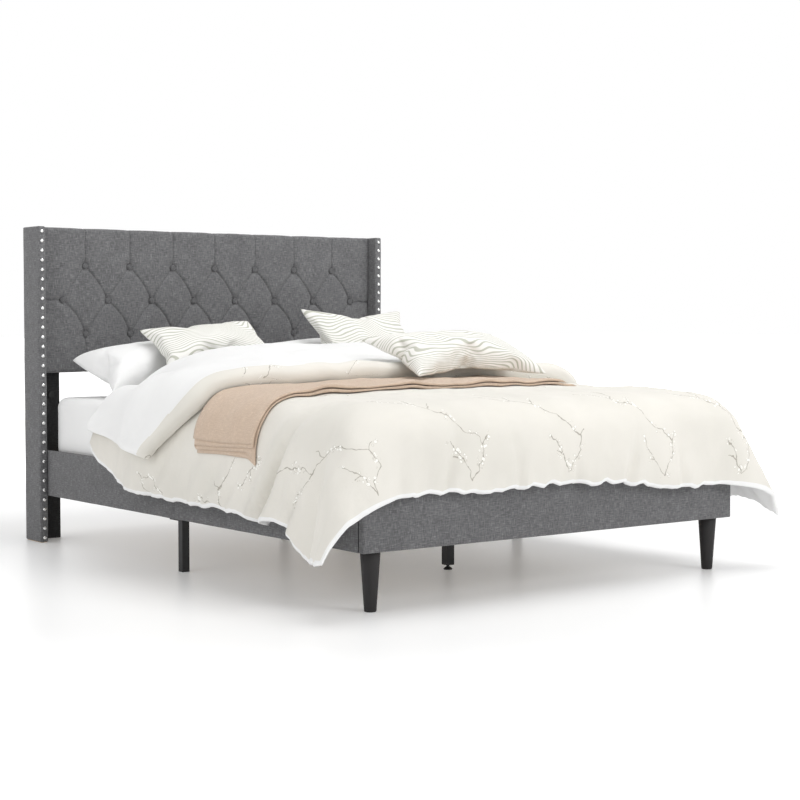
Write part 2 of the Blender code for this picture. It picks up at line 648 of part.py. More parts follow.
def flap_rise(flat_x, run_x, along):
    """Height of the turned-back part over the lower layer."""
    start, span = FLAP_SWING_RUN
    edge = FLAP_EDGE_Y + FLAP_SWING * smoothstep((run_x - start) / span)
    cover = smoothstep((along - edge) / FLAP_NOSE + 1)
    lean = FLAP_RISE - FLAP_THIN * smoothstep((CREASE_Y - along) / (CREASE_Y - FLAP_EDGE_Y))
    nose = math.sqrt(max(1 - max(1 - (CREASE_Y - along) / 0.07, 0.0) ** 2, 0.0))
    fade = 1 - smoothstep((run_x - 0.05) / 0.20)
    at_edge = FLAP_EDGE_SHARE + (1 - FLAP_EDGE_SHARE) * fade
    at_fold = FLAP_FOLD_SHARE + (1 - FLAP_FOLD_SHARE) * fade
    if flat_x < 0:
        at_fold = max(min(1 - (-flat_x / FLAP_LEFT_REACH) ** 3.2, at_fold), FLAP_FOLD_SHARE)
    share = at_edge + (at_fold - at_edge) * smoothstep((along + 0.15) / 0.60)
    return lean * cover * nose * share * (1 - smoothstep((run_x - FLAP_SIDE_END) / 0.04))


def duvet_thickness(point, run, run_x, along):
    """Loft of the lower layer: full on the bed, thin at the hem."""
    if run == 0.0:
        return point.z - DUVET_UNDER
    end = side_length(along, point.x)
    if along < DRAPE_FOOT_Y:
        end = FOOT_DROP if run_x == 0 else math.hypot(run_x, DRAPE_FOOT_Y - along)
    taper = smoothstep((run - (end - 0.10)) / 0.10)
    beside_fold = 0.007 * smoothstep((along - 0.32) / 0.10) * smoothstep(run / 0.03)
    return DUVET_THICK - beside_fold - (DUVET_THICK - beside_fold - HEM_THICK) * taper


def duvet_upper(across, along):
    point, normal, run, flat_x, run_x = duvet_frame(across, along)
    pinch = (smoothstep((along - PINCH_ALONG[0]) / PINCH_ALONG[1])
             * smoothstep((abs(flat_x) + run_x - PINCH_ACROSS[0]) / PINCH_ACROSS[1]))
    sag = max(duvet_thickness(point, run, run_x, along) - PINCH_THICK, 0.0) * pinch
    return point + normal * (flap_rise(flat_x, run_x, along) - sag)


def duvet_lower(across, along):
    point, normal, run, flat_x, run_x = duvet_frame(across, along)
    return point - normal * duvet_thickness(point, run, run_x, along)


def build_duvet():
    turns = (0.05, 0.10, 0.15, 0.20, 0.26, 0.34, 0.43)
    right = [0.0, 0.167, 0.333, 0.5] + [0.5 + 0.5 * run / SIDE_DROP for run in turns]
    columns = [-value for value in reversed(right[1:])] + right
    rows = [CREASE_Y - back for back in (0.0, 0.012, 0.035, 0.08, 0.2, 0.35, 0.5, 0.63, 0.68, 0.71, 0.74)]
    rows += [-0.45, -0.65, -0.75, DRAPE_FOOT_Y]
    rows += [DRAPE_FOOT_Y - run for run in (0.05, 0.10, 0.15, 0.20, 0.26, FOOT_DROP)]
    slab_from_grid("comforter", columns, rows, duvet_upper, duvet_lower, "comforter")


def build_throw():
    """A blanket folded into a band, over the left edge and across the bed."""
    columns = [-0.815, -0.77, -0.73, -0.675, -0.62, -0.56, -0.5, -0.333, -0.167, 0.0,
               0.19, THROW_RIGHT_X / DRAPE_X / 2]
    rows = [THROW_FOOT_Y, (THROW_FOOT_Y + THROW_HEAD_Y) / 2, THROW_HEAD_Y]

    def at(height):
        def surface(across, along):
            point, normal = duvet_frame(across, along)[:2]
            return point + normal * height
        return surface
    slab_from_grid("throw_blanket", columns, rows, at(THROW_THICK + 0.0025), at(0.0025), "throw")


def build_pillow(name, size, crown, centre, turns, finish):
    """A crowned pillow: its sides pull in between its corners."""
    width, depth = size
    steps = [-1.0, -0.8, -0.45, 0.0, 0.45, 0.8, 1.0]

    def surface(height):
        def at(u, v):
            x = width / 2 * u * (1 - 0.07 * (1 - v * v) * abs(u))
            y = depth / 2 * v * (1 - 0.07 * (1 - u * u) * abs(v))
            body = (1 - abs(u) ** 2.6) ** 0.6 * (1 - abs(v) ** 2.6) ** 0.6
            return Vector((x, y, math.copysign(0.003, height) + height * body))
        return at
    pillow = slab_from_grid(name, steps, steps, surface(crown[0]), surface(-crown[1]), finish)
    pillow.location = centre
    pillow.rotation_euler = [math.radians(turn) for turn in turns]
    return pillow


PILLOWS = (
    # name, (width, depth), (crown above, crown below), centre, (tilt, roll, turn), colour
    ("sleeping_pillow_left", (0.63, 0.34), (0.122, 0.055), (-0.315, 0.748, 0.588), (18, 0, 0), "sheet_white"),
    ("sleeping_pillow_right", (0.63, 0.34), (0.122, 0.055), (0.322, 0.748, 0.588), (18, 0, 0), "sheet_white"),
    ("lumbar_pillow_left", (0.45, 0.265), (0.070, 0.012), (-0.235, 0.609, 0.686), (34, -4, -3), "sham"),
    ("lumbar_pillow_right", (0.49, 0.305), (0.062, 0.020), (0.440, 0.625, 0.708), (55, 0, 2), "sham"),
    ("lumbar_pillow_front", (0.56, 0.350), (0.078, 0.022), (0.198, -0.225, 0.660), (20, 0, 0), "sham"),
)


# ---------------------------------------------------------------- assembly
def build_bed():
    build_panel()
    for side_name, side in SIDES:
        build_wing(side_name, side)
        build_nail_trim(side_name, side)
        build_post(side_name, side)
        build_side_rail(side_name, side, "head", (RAIL_JOINT_Y + GAP / 2, POST_FRONT_Y - GAP))
        build_side_rail(side_name, side, "foot", (FOOT_INNER_Y + GAP, RAIL_JOINT_Y - GAP / 2))
        build_brackets(side_name, side)
        build_front_leg(side_name, side)
        build_side_leg(side_name, side)
    build_foot_rail()
    build_head_cross_rail()
    build_beam()
    for end, y in CENTRE_LEG_Y.items():
        build_centre_leg(end, y)
    build_slats()
    build_mattress()
    build_duvet()
    build_throw()
    for entry in PILLOWS:
        build_pillow(*entry)


build_bed()
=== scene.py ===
"""Looks of the full-size upholstered bed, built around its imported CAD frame.

Metres, +Z up, headboard at +Y. Places come from the frame's own boxes.
"""
import functools
import math

import bpy
import numpy as np
from mathutils import Euler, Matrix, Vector


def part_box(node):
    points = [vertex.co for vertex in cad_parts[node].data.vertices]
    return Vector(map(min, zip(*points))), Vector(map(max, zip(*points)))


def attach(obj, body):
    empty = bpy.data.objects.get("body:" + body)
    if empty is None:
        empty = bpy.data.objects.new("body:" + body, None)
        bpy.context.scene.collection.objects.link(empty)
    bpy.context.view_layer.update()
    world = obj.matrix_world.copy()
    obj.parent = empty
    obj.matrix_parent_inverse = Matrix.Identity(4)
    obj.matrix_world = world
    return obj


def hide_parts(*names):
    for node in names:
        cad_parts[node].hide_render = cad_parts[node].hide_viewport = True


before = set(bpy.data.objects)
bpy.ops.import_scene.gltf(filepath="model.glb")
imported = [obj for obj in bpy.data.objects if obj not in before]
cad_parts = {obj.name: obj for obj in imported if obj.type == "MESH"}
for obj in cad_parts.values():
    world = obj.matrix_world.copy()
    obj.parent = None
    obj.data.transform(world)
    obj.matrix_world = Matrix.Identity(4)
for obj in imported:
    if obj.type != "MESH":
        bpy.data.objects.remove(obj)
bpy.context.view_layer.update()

SIDES = (("left", -1), ("right", 1))


# ---------------- small tools
def corners(node):
    low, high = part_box(node)
    return np.array(low, float), np.array(high, float)


def smooth(value):
    value = np.clip(value, 0.0, 1.0)
    return value * value * (3 - 2 * value)


def lerp(start, end, share):
    return start + (end - start) * share


def rounded(distance, radius):
    """Rise of a round edge, from 0 at the edge to 1 a radius away from it."""
    return np.sqrt(1 - (1 - np.clip(distance / radius, 0.0, 1.0)) ** 2)


def walked(points):
    """Distance walked along a row of points, from 0 at the first."""
    steps = np.linalg.norm(np.diff(points, axis=0), axis=-1)
    return np.concatenate([np.zeros((1,) + steps.shape[1:]), np.cumsum(steps, axis=0)])


def ripple(points, scale, seed, octaves=3):
    """Soft noise from turned sine waves, mostly within -1 to 1."""
    rng = np.random.default_rng(seed)
    total = np.zeros(points.shape[:-1])
    weight = 0.0
    for octave in range(octaves):
        share = 0.5 ** octave
        for _ in range(6):
            way = rng.normal(size=points.shape[-1])
            length = scale * 0.5 ** octave * rng.uniform(0.75, 1.35)
            way *= 2 * math.pi / (np.linalg.norm(way) * length)
            total += share * np.sin(points @ way + rng.uniform(0, 2 * math.pi)) / 2.4
        weight += share
    return total / weight


def put(name, data, place=(0, 0, 0)):
    obj = bpy.data.objects.new(name, data)
    bpy.context.scene.collection.objects.link(obj)
    obj.location = place
    return obj


def new_mesh(name, verts, faces, uvs=None, finishes=(), face_finish=None):
    """A closed, outward-facing mesh object with a UV in metres for each vertex."""
    verts = np.asarray(verts, float)
    mesh = bpy.data.meshes.new(name)
    mesh.from_pydata([tuple(v) for v in verts], [], faces)
    mesh.update()
    mesh.calc_loop_triangles()
    tris = np.empty(len(mesh.loop_triangles) * 3, np.int32)
    mesh.loop_triangles.foreach_get("vertices", tris)
    a, b, c = (verts[tris[i::3]] - verts.mean(0) for i in range(3))
    if np.einsum("ij,ij->", a, np.cross(b, c)) < 0:
        mesh.flip_normals()
    if uvs is not None:
        layer = mesh.uv_layers.new(name="metres")
        index = np.empty(len(mesh.loops), np.int32)
        mesh.loops.foreach_get("vertex_index", index)
        layer.data.foreach_set("uv", np.asarray(uvs, np.float32)[index].ravel())
    for finish in finishes:
        mesh.materials.append(finish)
    if face_finish is not None:
        mesh.polygons.foreach_set("material_index", np.asarray(face_finish, np.int32))
    mesh.shade_smooth()
    return put(name, mesh)


def bake(obj):
    """Make the modifiers' result the piece's own mesh."""
    graph = bpy.context.evaluated_depsgraph_get()
    made = bpy.data.meshes.new_from_object(obj.evaluated_get(graph), depsgraph=graph)
    obj.modifiers.clear()
    obj.data = made


def hollow(obj, *rooms):
    """Cut boxes, each a lowest and a highest corner, out of a piece."""
    for low, high in rooms:
        x, y, z = zip(low, high)
        verts = [(x[i], y[j], z[k]) for i in (0, 1) for j in (0, 1) for k in (0, 1)]
        faces = [(0, 1, 3, 2), (4, 6, 7, 5), (0, 4, 5, 1), (2, 3, 7, 6), (0, 2, 6, 4), (1, 5, 7, 3)]
        room = new_mesh("room", verts, faces)
        modifier = obj.modifiers.new("room", "BOOLEAN")
        modifier.operation = "DIFFERENCE"
        modifier.solver = "EXACT"
        modifier.object = room
        bake(obj)
        bpy.data.objects.remove(room, do_unlink=True)


def stand_in(obj, node):
    """Let a piece ride on the bed, in place of the CAD node it stands for."""
    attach(obj, "bed")
    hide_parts(node)


def tube_faces(rings, around):
    """Quads between closed rings of points, with both ends filled."""
    faces = []
    for ring in range(rings - 1):
        start, after = ring * around, (ring + 1) * around
        for i in range(around):
            j = (i + 1) % around
            faces.append((start + i, start + j, after + j, after + i))
    faces.append(tuple(reversed(range(around))))
    faces.append(tuple(range((rings - 1) * around, rings * around)))
    return faces


def lathe(name, profile, centres, finish, axis="Z", sides=40):
    """Turned pieces, one at each centre, from (radius, height) points."""
    angles = np.linspace(0, 2 * math.pi, sides, endpoint=False)
    ring = np.stack([np.cos(angles), np.sin(angles), np.zeros(sides)], axis=1)
    template = np.concatenate([ring * radius + [0, 0, height] for radius, height in profile])
    uvs = np.stack([template @ [1, 1, 0], template[:, 2] + template @ [0.3, 0, 0]], axis=1)
    if axis == "Y":
        template = template[:, [0, 2, 1]]
    verts, faces = [], []
    for centre in centres:
        start = len(verts) * len(template)
        verts.append(template + np.asarray(centre, float))
        faces += [tuple(start + i for i in face) for face in tube_faces(len(profile), sides)]
    return new_mesh(name, np.concatenate(verts), faces, np.tile(uvs, (len(centres), 1)), [finish])


# ---------------- materials
class Value:
    """A node's output that can stand in a formula: each operation adds a maths node."""

    def __init__(self, socket):
        self.socket, self.tree = socket, socket.id_data

    def __add__(self, other):
        return maths("ADD", self, other)

    def __sub__(self, other):
        return maths("SUBTRACT", self, other)

    def __rsub__(self, other):
        return maths("SUBTRACT", other, self)

    def __mul__(self, other):
        return maths("MULTIPLY", self, other)

    def __truediv__(self, other):
        return maths("DIVIDE", self, other)

    def clamped(self):
        """The same value, held between 0 and 1."""
        self.socket.node.use_clamp = True
        return self

    def feed(self, entry):
        self.tree.links.new(self.socket, entry)


def add(tree, kind, inputs=None, output=0, **settings):
    """One output of a new node, whose inputs are plain values or other outputs."""
    node = tree.nodes.new(kind)
    for key, value in settings.items():
        setattr(node, key, value)
    for key, value in (inputs or {}).items():
        if isinstance(value, Value):
            value.feed(node.inputs[key])
        else:
            node.inputs[key].default_value = value
    return Value(node.outputs[output])


def maths(operation, first, second=0.5):
    tree = (first if isinstance(first, Value) else second).tree
    return add(tree, "ShaderNodeMath", {0: first, 1: second}, operation=operation)


def vectors(operation, first, second=(0, 0, 0), output=0):
    return add(first.tree, "ShaderNodeVectorMath", {0: first, 1: second}, output, operation=operation)


def split(vector):
    """The X, Y and Z of a vector."""
    node = add(vector.tree, "ShaderNodeSeparateXYZ", {0: vector}).socket.node
    return [Value(socket) for socket in node.outputs]


def noise(vector, scale, detail=2.0, roughness=0.5, stretch=None, output="Fac"):
    if stretch:
        vector = vectors("MULTIPLY", vector, stretch)
    inputs = {"Vector": vector, "Scale": scale, "Detail": detail, "Roughness": roughness}
    return add(vector.tree, "ShaderNodeTexNoise", inputs, output)


def ramp(value, *stops):
    """A colour ramp from (place, colour) stops."""
    colour = add(value.tree, "ShaderNodeValToRGB", {"Fac": value})
    elements = colour.socket.node.color_ramp.elements
    while len(elements) < len(stops):
        elements.new(0.5)
    for element, (place, shade) in zip(elements, stops):
        element.position = place
        element.color = (*shade, 1.0)
    return colour


def mix_colour(share, first, second):
    first, second = (shade if isinstance(shade, Value) else (*shade, 1.0) for shade in (first, second))
    return add(share.tree, "ShaderNodeMix", {0: share, 6: first, 7: second}, 2, data_type="RGBA")


def new_material(name, coords, **looks):
    """A material, its shader, and the place on it. Looks are the shader's inputs: sheen_weight
    is the input Sheen Weight."""
    made = bpy.data.materials.new(name)
    made.use_nodes = True
    shader = made.node_tree.nodes["Principled BSDF"]
    for key, value in looks.items():
        shader.inputs[key.replace("_", " ").title().replace("Ior", "IOR")].default_value = value
    return made, shader, add(made.node_tree, "ShaderNodeTexCoord", output=coords)


def bump(shader, height, strength, distance, **under):
    inputs = {"Height": height, "Strength": strength, "Distance": distance, **under}
    normal = add(height.tree, "ShaderNodeBump", inputs)
    normal.feed(shader.inputs["Normal"])
    return normal


def weave_height(place, pitch):
    """Plain weave as a height: threads of one pitch, over and under."""
    over, under = (maths("SINE", part * (math.pi / pitch)) for part in split(place)[:2])
    return maths("ABSOLUTE", over * under)


def linen(name, dark, light, pitch=0.0016, coords="UV"):
    """Heathered upholstery cloth: slubbed threads both ways over a plain weave."""
    made, shader, place = new_material(name, coords, roughness=0.95, specular_ior_level=0.2,
                                       sheen_weight=0.2, sheen_roughness=0.5)
    along = noise(place, 1.0, 3.0, 0.6, (50, 330, 1))
    across = noise(place, 1.0, 3.0, 0.6, (330, 50, 1))
    threads = along + across
    slubs = maths("MAXIMUM", maths("MAXIMUM", along, across) - 0.60, 0.0)
    blend = threads * 0.42 + noise(place, 14.0, 3.0) * 0.12 + slubs * 0.9
    middle = lerp(np.array(dark), np.array(light), 0.42)
    ramp(blend, (0.36, dark), (0.50, middle), (0.66, light)).feed(shader.inputs["Base Color"])
    bump(shader, weave_height(place, pitch) * 0.5 + threads, 0.6, 0.0009)
    return made


def cotton_base(name, crumple):
    """A bed-linen shader with a fine weave and soft creases."""
    made, shader, place = new_material(name, "UV", roughness=0.88, specular_ior_level=0.25,
                                       sheen_weight=0.15)
    soft = bump(shader, noise(place, 26.0, 4.0, 0.55, (1, 1.4, 1)), crumple, 0.004)
    bump(shader, weave_height(place, 0.0009), 0.2, 0.0003, Normal=soft)
    return made, shader, place


def cotton(name, colour):
    made, shader, place = cotton_base(name, 0.3)
    low = [channel * 0.965 for channel in colour]
    ramp(noise(place, 5.0, 4.0), (0.3, low), (0.7, colour)).feed(shader.inputs["Base Color"])
    return made


def plain(name, colour, roughness, metallic=0.0, grain=0.0, stretch=(1, 1, 1)):
    """A painted, moulded, plated or wooden surface with grain in object space."""
    made, shader, place = new_material(name, "Object", roughness=roughness, metallic=metallic)
    marks = noise(place, 60.0, 4.0, 0.6, stretch)
    low = [channel * (1 - grain) for channel in colour]
    high = [min(channel * (1 + grain), 1.0) for channel in colour]
    ramp(marks, (0.35, low), (0.65, high)).feed(shader.inputs["Base Color"])
    bump(shader, marks, 0.15, 0.0004)
    return made


def stroke(point, start, end):
    """Distance from a point to a straight stroke."""
    reach = (end[0] - start[0], end[1] - start[1], 0.0)
    away = vectors("SUBTRACT", point, (*start, 0.0))
    size = reach[0] ** 2 + reach[1] ** 2
    share = (vectors("DOT_PRODUCT", away, reach, 1) * (1 / size)).clamped()
    along = add(point.tree, "ShaderNodeVectorMath", {0: reach, "Scale": share}, operation="SCALE")
    return vectors("LENGTH", vectors("SUBTRACT", away, along), output=1)


TWIGS = (
    # one repeat: a fork at the cell's lower edge, its long arm bending back over it, and the side twigs
    ((0.00, 0.01), (0.034, 0.075), (0.030, 0.115), (-0.020, 0.155), (-0.098, 0.225), (-0.15, 0.26),
     (-0.25, 0.31)),
    ((0.00, 0.01), (-0.035, 0.06), (-0.079, 0.115)), ((-0.035, 0.06), (-0.06, 0.062)),
    ((0.030, 0.115), (0.048, 0.135)), ((-0.098, 0.225), (-0.084, 0.27)),
    ((-0.15, 0.26), (-0.13, 0.35), (-0.16, 0.42)),
)
REPEAT = (0.37, 0.56)
LEAN = -0.42                      # how far a repeat shifts sideways per metre up
ROW_SHIFT, TWIG_WIDTH, BLOSSOM_REACH = 0.13, 0.0036, 0.015


def blossom_print(name):
    """Ivory percale printed with twigs and small white blossoms."""
    made, shader, place = cotton_base(name, 0.3)
    sway = vectors("SUBTRACT", noise(place, 16.0, 3.0, output="Color"), (0.5, 0.5, 0.5))
    x, y, _ = split(vectors("ADD", place, vectors("MULTIPLY", sway, (0.055, 0.055, 0.0))))
    rows = y * -1.0 / REPEAT[1]
    row = maths("FLOOR", rows)
    up = (rows - row) * REPEAT[1]
    columns = (x + row * ROW_SHIFT - up * LEAN) / REPEAT[0] + 0.5
    across = (columns - maths("FLOOR", columns) - 0.5) * REPEAT[0] + up * LEAN
    point = add(place.tree, "ShaderNodeCombineXYZ", {0: across, 1: up})
    strokes = [stroke(point, *ends) for line in TWIGS for ends in zip(line, line[1:])]
    twig = functools.reduce(lambda near, other: maths("MINIMUM", near, other), strokes)
    on_twig = ((noise(place, 60.0) * TWIG_WIDTH - twig) * 900.0).clamped()
    near_twig = ((BLOSSOM_REACH - twig) * 200.0).clamped()
    here = near_twig * maths("GREATER_THAN", noise(place, 14.0), 0.50)
    bloom = add(place.tree, "ShaderNodeTexVoronoi", {"Vector": place, "Scale": 82.0, "Randomness": 0.9},
                "Distance")
    petal, rim, heart = (maths("LESS_THAN", bloom, size) * here for size in (0.36, 0.48, 0.12))
    colour = ramp(noise(place, 3.5, 3.0), (0.3, (0.700, 0.680, 0.625)), (0.7, (0.775, 0.750, 0.695)))
    colour = mix_colour(on_twig * 0.75, colour, (0.29, 0.26, 0.21))
    colour = mix_colour(rim * 0.35, colour, (0.45, 0.42, 0.36))
    colour = mix_colour(petal, colour, (0.90, 0.89, 0.85))
    colour = mix_colour(heart * 0.6, colour, (0.45, 0.40, 0.30))
    colour.feed(shader.inputs["Base Color"])
    return made


def wave_print(name):
    """White sateen printed with wandering grey-green lines."""
    made, shader, place = cotton_base(name, 0.25)
    drift = noise(place, 1.0, 1.0, 0.35, (4.5, 6.0, 1))
    x, y, _ = split(place)
    line = maths("SINE", y * 400.0 + drift * 130.0 + x * 120.0)
    cover = ((line + noise(place, 7.0, 2.0) - 0.75) * 2.2).clamped()
    mix_colour(cover, (0.84, 0.83, 0.80), (0.50, 0.505, 0.435)).feed(shader.inputs["Base Color"])
    return made


GREY = linen("grey_linen", (0.085, 0.085, 0.088), (0.235, 0.235, 0.24))
DARK = linen("charcoal_linen", (0.018, 0.018, 0.019), (0.052, 0.052, 0.054))
BUTTON = linen("button_linen", (0.070, 0.070, 0.072), (0.19, 0.19, 0.195), 0.0012)
# black lining cloth; on the rail boards it is also painted shade for the seams between the rail covers
LINING_AND_SEAM_SHADE = linen("lining_and_seam_shade_cloth", (0.012, 0.012, 0.013), (0.030, 0.030, 0.032), 0.0009, "Object")
PLYWOOD = plain("plywood", (0.56, 0.41, 0.25), 0.6, grain=0.18, stretch=(1, 0.06, 1))
PINE = plain("pine", (0.66, 0.50, 0.31), 0.6, grain=0.2, stretch=(0.05, 1, 1))
BLACK_WOOD = plain("black_wood", (0.0075, 0.0058, 0.0060), 0.55, grain=0.3, stretch=(1, 1, 0.08))
STEEL = plain("black_steel", (0.020, 0.020, 0.021), 0.45, 0.3, grain=0.15)
PLASTIC = plain("black_plastic", (0.018, 0.018, 0.018), 0.5, grain=0.1)
NAIL = plain("bright_nail", (0.86, 0.86, 0.85), 0.2, 1.0, grain=0.03)
WHITE = cotton("white_percale", (0.86, 0.86, 0.855))
PRINT = blossom_print("blossom_percale")
WAVES = wave_print("wave_sateen")
WOOL = linen("throw_knit", (0.56, 0.43, 0.33), (0.70, 0.56, 0.44), 0.0011)


def finish_frame():
    """Give every CAD node that stays in view its material; the rail boards get the black lining cloth, as
    painted shade in the seams between the rail covers.
    """
    kinds = {"board": PLYWOOD, "rail_board": LINING_AND_SEAM_SHADE, "cross_rail": PINE, "slat": PINE, "lining": LINING_AND_SEAM_SHADE,
             "beam": STEEL, "centre_leg": STEEL, "support_leg": STEEL, "bracket": STEEL, "plate": STEEL,
             "bolt": PLASTIC, "glide": PLASTIC}
    for name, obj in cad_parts.items():
        for part, finish in kinds.items():
            if part in name:
                for holder in obj.material_slots:
                    holder.material = finish


# ---------------- wrapped boards
def rounded_outline(half_a, half_b, radius, spacing, per_corner=5):
    """A rounded rectangle about the origin, as points and outward normals."""
    points, normals = [], []
    centres = [np.array([a * (half_a - radius), b * (half_b - radius)])
               for a, b in ((1, 1), (-1, 1), (-1, -1), (1, -1))]
    for turn, centre in enumerate(centres):
        for step in range(per_corner + 1):
            angle = (turn + step / per_corner) * math.pi / 2
            normals.append(np.array([math.cos(angle), math.sin(angle)]))
            points.append(centre + radius * normals[-1])
        last, flat = points[-1], normals[-1]
        target = centres[(turn + 1) % 4] + radius * flat
        pieces = max(int(np.linalg.norm(target - last) / spacing), 1)
        for step in range(1, pieces):
            points.append(lerp(last, target, step / pieces))
            normals.append(flat)
    return np.array(points), np.array(normals)


def wrapped_bar(name, low, high, axis, radius, finish, spacing=0.025, wobble=0.0005, seed=1,
                end_radius=None, end_steps=5):
    """A cloth-covered bar along one axis, with soft corners and soft ends."""
    low, high = np.asarray(low, float), np.asarray(high, float)
    sides = [i for i in range(3) if i != axis]
    outline, normals = rounded_outline(*((high - low) / 2)[sides], radius, spacing)
    girth = walked(outline)
    bend = end_radius or 0.7 * radius
    angles = np.linspace(0, math.pi / 2, end_steps)
    length = high[axis] - low[axis]
    middle = np.linspace(bend, length - bend, max(int(length / spacing), 3))[1:-1]
    near, inset = bend * (1 - np.cos(angles)), bend * (1 - np.sin(angles))
    places = np.concatenate([near, middle, (length - near)[::-1]])
    insets = np.concatenate([inset, np.zeros(len(middle)), inset[::-1]])
    rings, uvs = [], []
    for place, inset in zip(places, insets):
        ring = np.empty((len(outline), 3))
        ring[:, axis] = low[axis] + place
        ring[:, sides] = outline + ((low + high) / 2)[sides]
        push = wobble * (ripple(ring, 0.16, seed) - 1.0) - inset
        ring[:, sides] += normals * push[:, None]
        rings.append(ring)
        uvs.append(np.stack([girth, np.full(len(girth), place)], axis=1))
    return new_mesh(name, np.concatenate(rings), tube_faces(len(places), len(outline)),
                    np.concatenate(uvs), [finish])


COVER_GAP = 0.0003


def around(low, high, more):
    return np.asarray(low) - more, np.asarray(high) + more


def build_wings():
    for side_name, side in SIDES:
        low, high = corners(f"{side_name}_wing_cover")
        wing = wrapped_bar(f"{side_name}_wing", low, high, 2, 0.0065, GREY, seed=3 + side)
        board_low, board_high = around(*corners(f"{side_name}_wing_board"), COVER_GAP)
        board_low[2] = low[2] - 0.01
        hollow(wing, (board_low, board_high))
        stand_in(wing, f"{side_name}_wing_cover")

        low, high = corners(f"{side_name}_headboard_post")
        post = wrapped_bar(f"{side_name}_post", low, high, 2, 0.003, DARK, wobble=0.0002, seed=9 + side)
        stand_in(post, f"{side_name}_headboard_post")


def build_nails():
    """Domed nail heads in one column down the front of each wing."""
    count, pitch, radius = 33, 0.0335, 0.0062
    for side_name, _ in SIDES:
        node = f"{side_name}_nail_trim"
        low, high = corners(node)
        middle = (low + high) / 2
        top = middle[2] + (count - 1) / 2 * pitch
        back, front = high[1], low[1]
        angles = np.linspace(0, math.pi / 2, 7)
        profile = [(radius, back)] + [(radius * math.cos(a), lerp(back - 0.0006, front, math.sin(a)))
                                      for a in angles[:-1]] + [(radius * 0.02, front)]
        heads = lathe(f"{side_name}_nail_heads", profile,
                      [(middle[0], 0.0, top - pitch * i) for i in range(count)], NAIL, "Y", 20)
        stand_in(heads, node)


# ---------------- tufted panel
BUTTON_ROWS = (("top", 7), ("middle", 8), ("bottom", 7))


def button_grid():
    """The (x, z) of every button, from the boxes of the three button rows."""
    rows = []
    for row, count in BUTTON_ROWS:
        low, high = corners(f"tuft_button_row_{row}")
        radius = (high[2] - low[2]) / 2
        xs = np.linspace(low[0] + radius, high[0] - radius, count)
        rows.append([(x, (low[2] + high[2]) / 2) for x in xs])
    return rows


def pleat_lines(rows, pad_low, pad_high):
    """Each pleat as its two ends, how sharp its fold is, and its bow."""
    top, middle, bottom = rows
    lines = []
    for i, (x, z) in enumerate(top):
        lines.append(((x, z), middle[i], 0.55, -0.004))
        lines.append(((x, z), middle[i + 1], 1.0, 0.008))
        lines.append(((x, z), (x, pad_high[2] + 0.02), 0.85, 0.0))
    for i, (x, z) in enumerate(bottom):
        lines.append((middle[i], (x, z), 1.0, 0.012))
        lines.append((middle[i + 1], (x, z), 0.55, -0.004))
        lines.append(((x, z), (x, pad_low[2] - 0.02), 0.85, 0.0))
    lines.append((middle[0], (pad_low[0] - 0.01, middle[0][1] + 0.002), 0.9, 0.002))
    lines.append((middle[-1], (pad_high[0] + 0.01, middle[-1][1] - 0.002), 0.9, 0.002))
    return lines


ROUND_PLEAT, SHARP_PLEAT, SHARP_WIDTH = 0.0050, 0.0075, 0.0026
FOLD_STEP, WELL, WELL_RADIUS = 0.0012, 0.0128, 0.017


def tuft_depth(x, z, rows, lines):
    """How far the cloth lies behind the pad's highest points."""
    broad, sharp, fold, wells = (np.zeros_like(x) for _ in range(4))
    for (ax, az), (bx, bz), keen, bow in lines:
        length = math.hypot(bx - ax, bz - az)
        tx, tz = (bx - ax) / length, (bz - az) / length
        along = (x - ax) * tx + (z - az) * tz
        share = np.clip(along / length, 0, 1)
        off = (x - ax) * -tz + (z - az) * tx - bow * np.sin(math.pi * share)
        away = np.hypot(off, along - share * length)
        deep = 0.70 + 0.30 * (2 * share - 1) ** 2
        broad = np.maximum(broad, ROUND_PLEAT * deep * np.exp(-away / 0.018))
        sharp = np.maximum(sharp, SHARP_PLEAT * keen * deep * np.exp(-(away / SHARP_WIDTH) ** 2))
        fold -= FOLD_STEP * keen ** 2 * np.tanh(off / 0.0018) * np.exp(-away / 0.008)
    for row in rows:
        for bx, bz in row:
            away = np.hypot(x - bx, z - bz)
            wells = np.maximum(wells, WELL * np.exp(-(away / WELL_RADIUS) ** 2.2))
    near_button = np.clip(wells / WELL, 0, 1)
    return (broad + sharp) * (1 - 0.75 * near_button) + fold * (1 - near_button) + wells


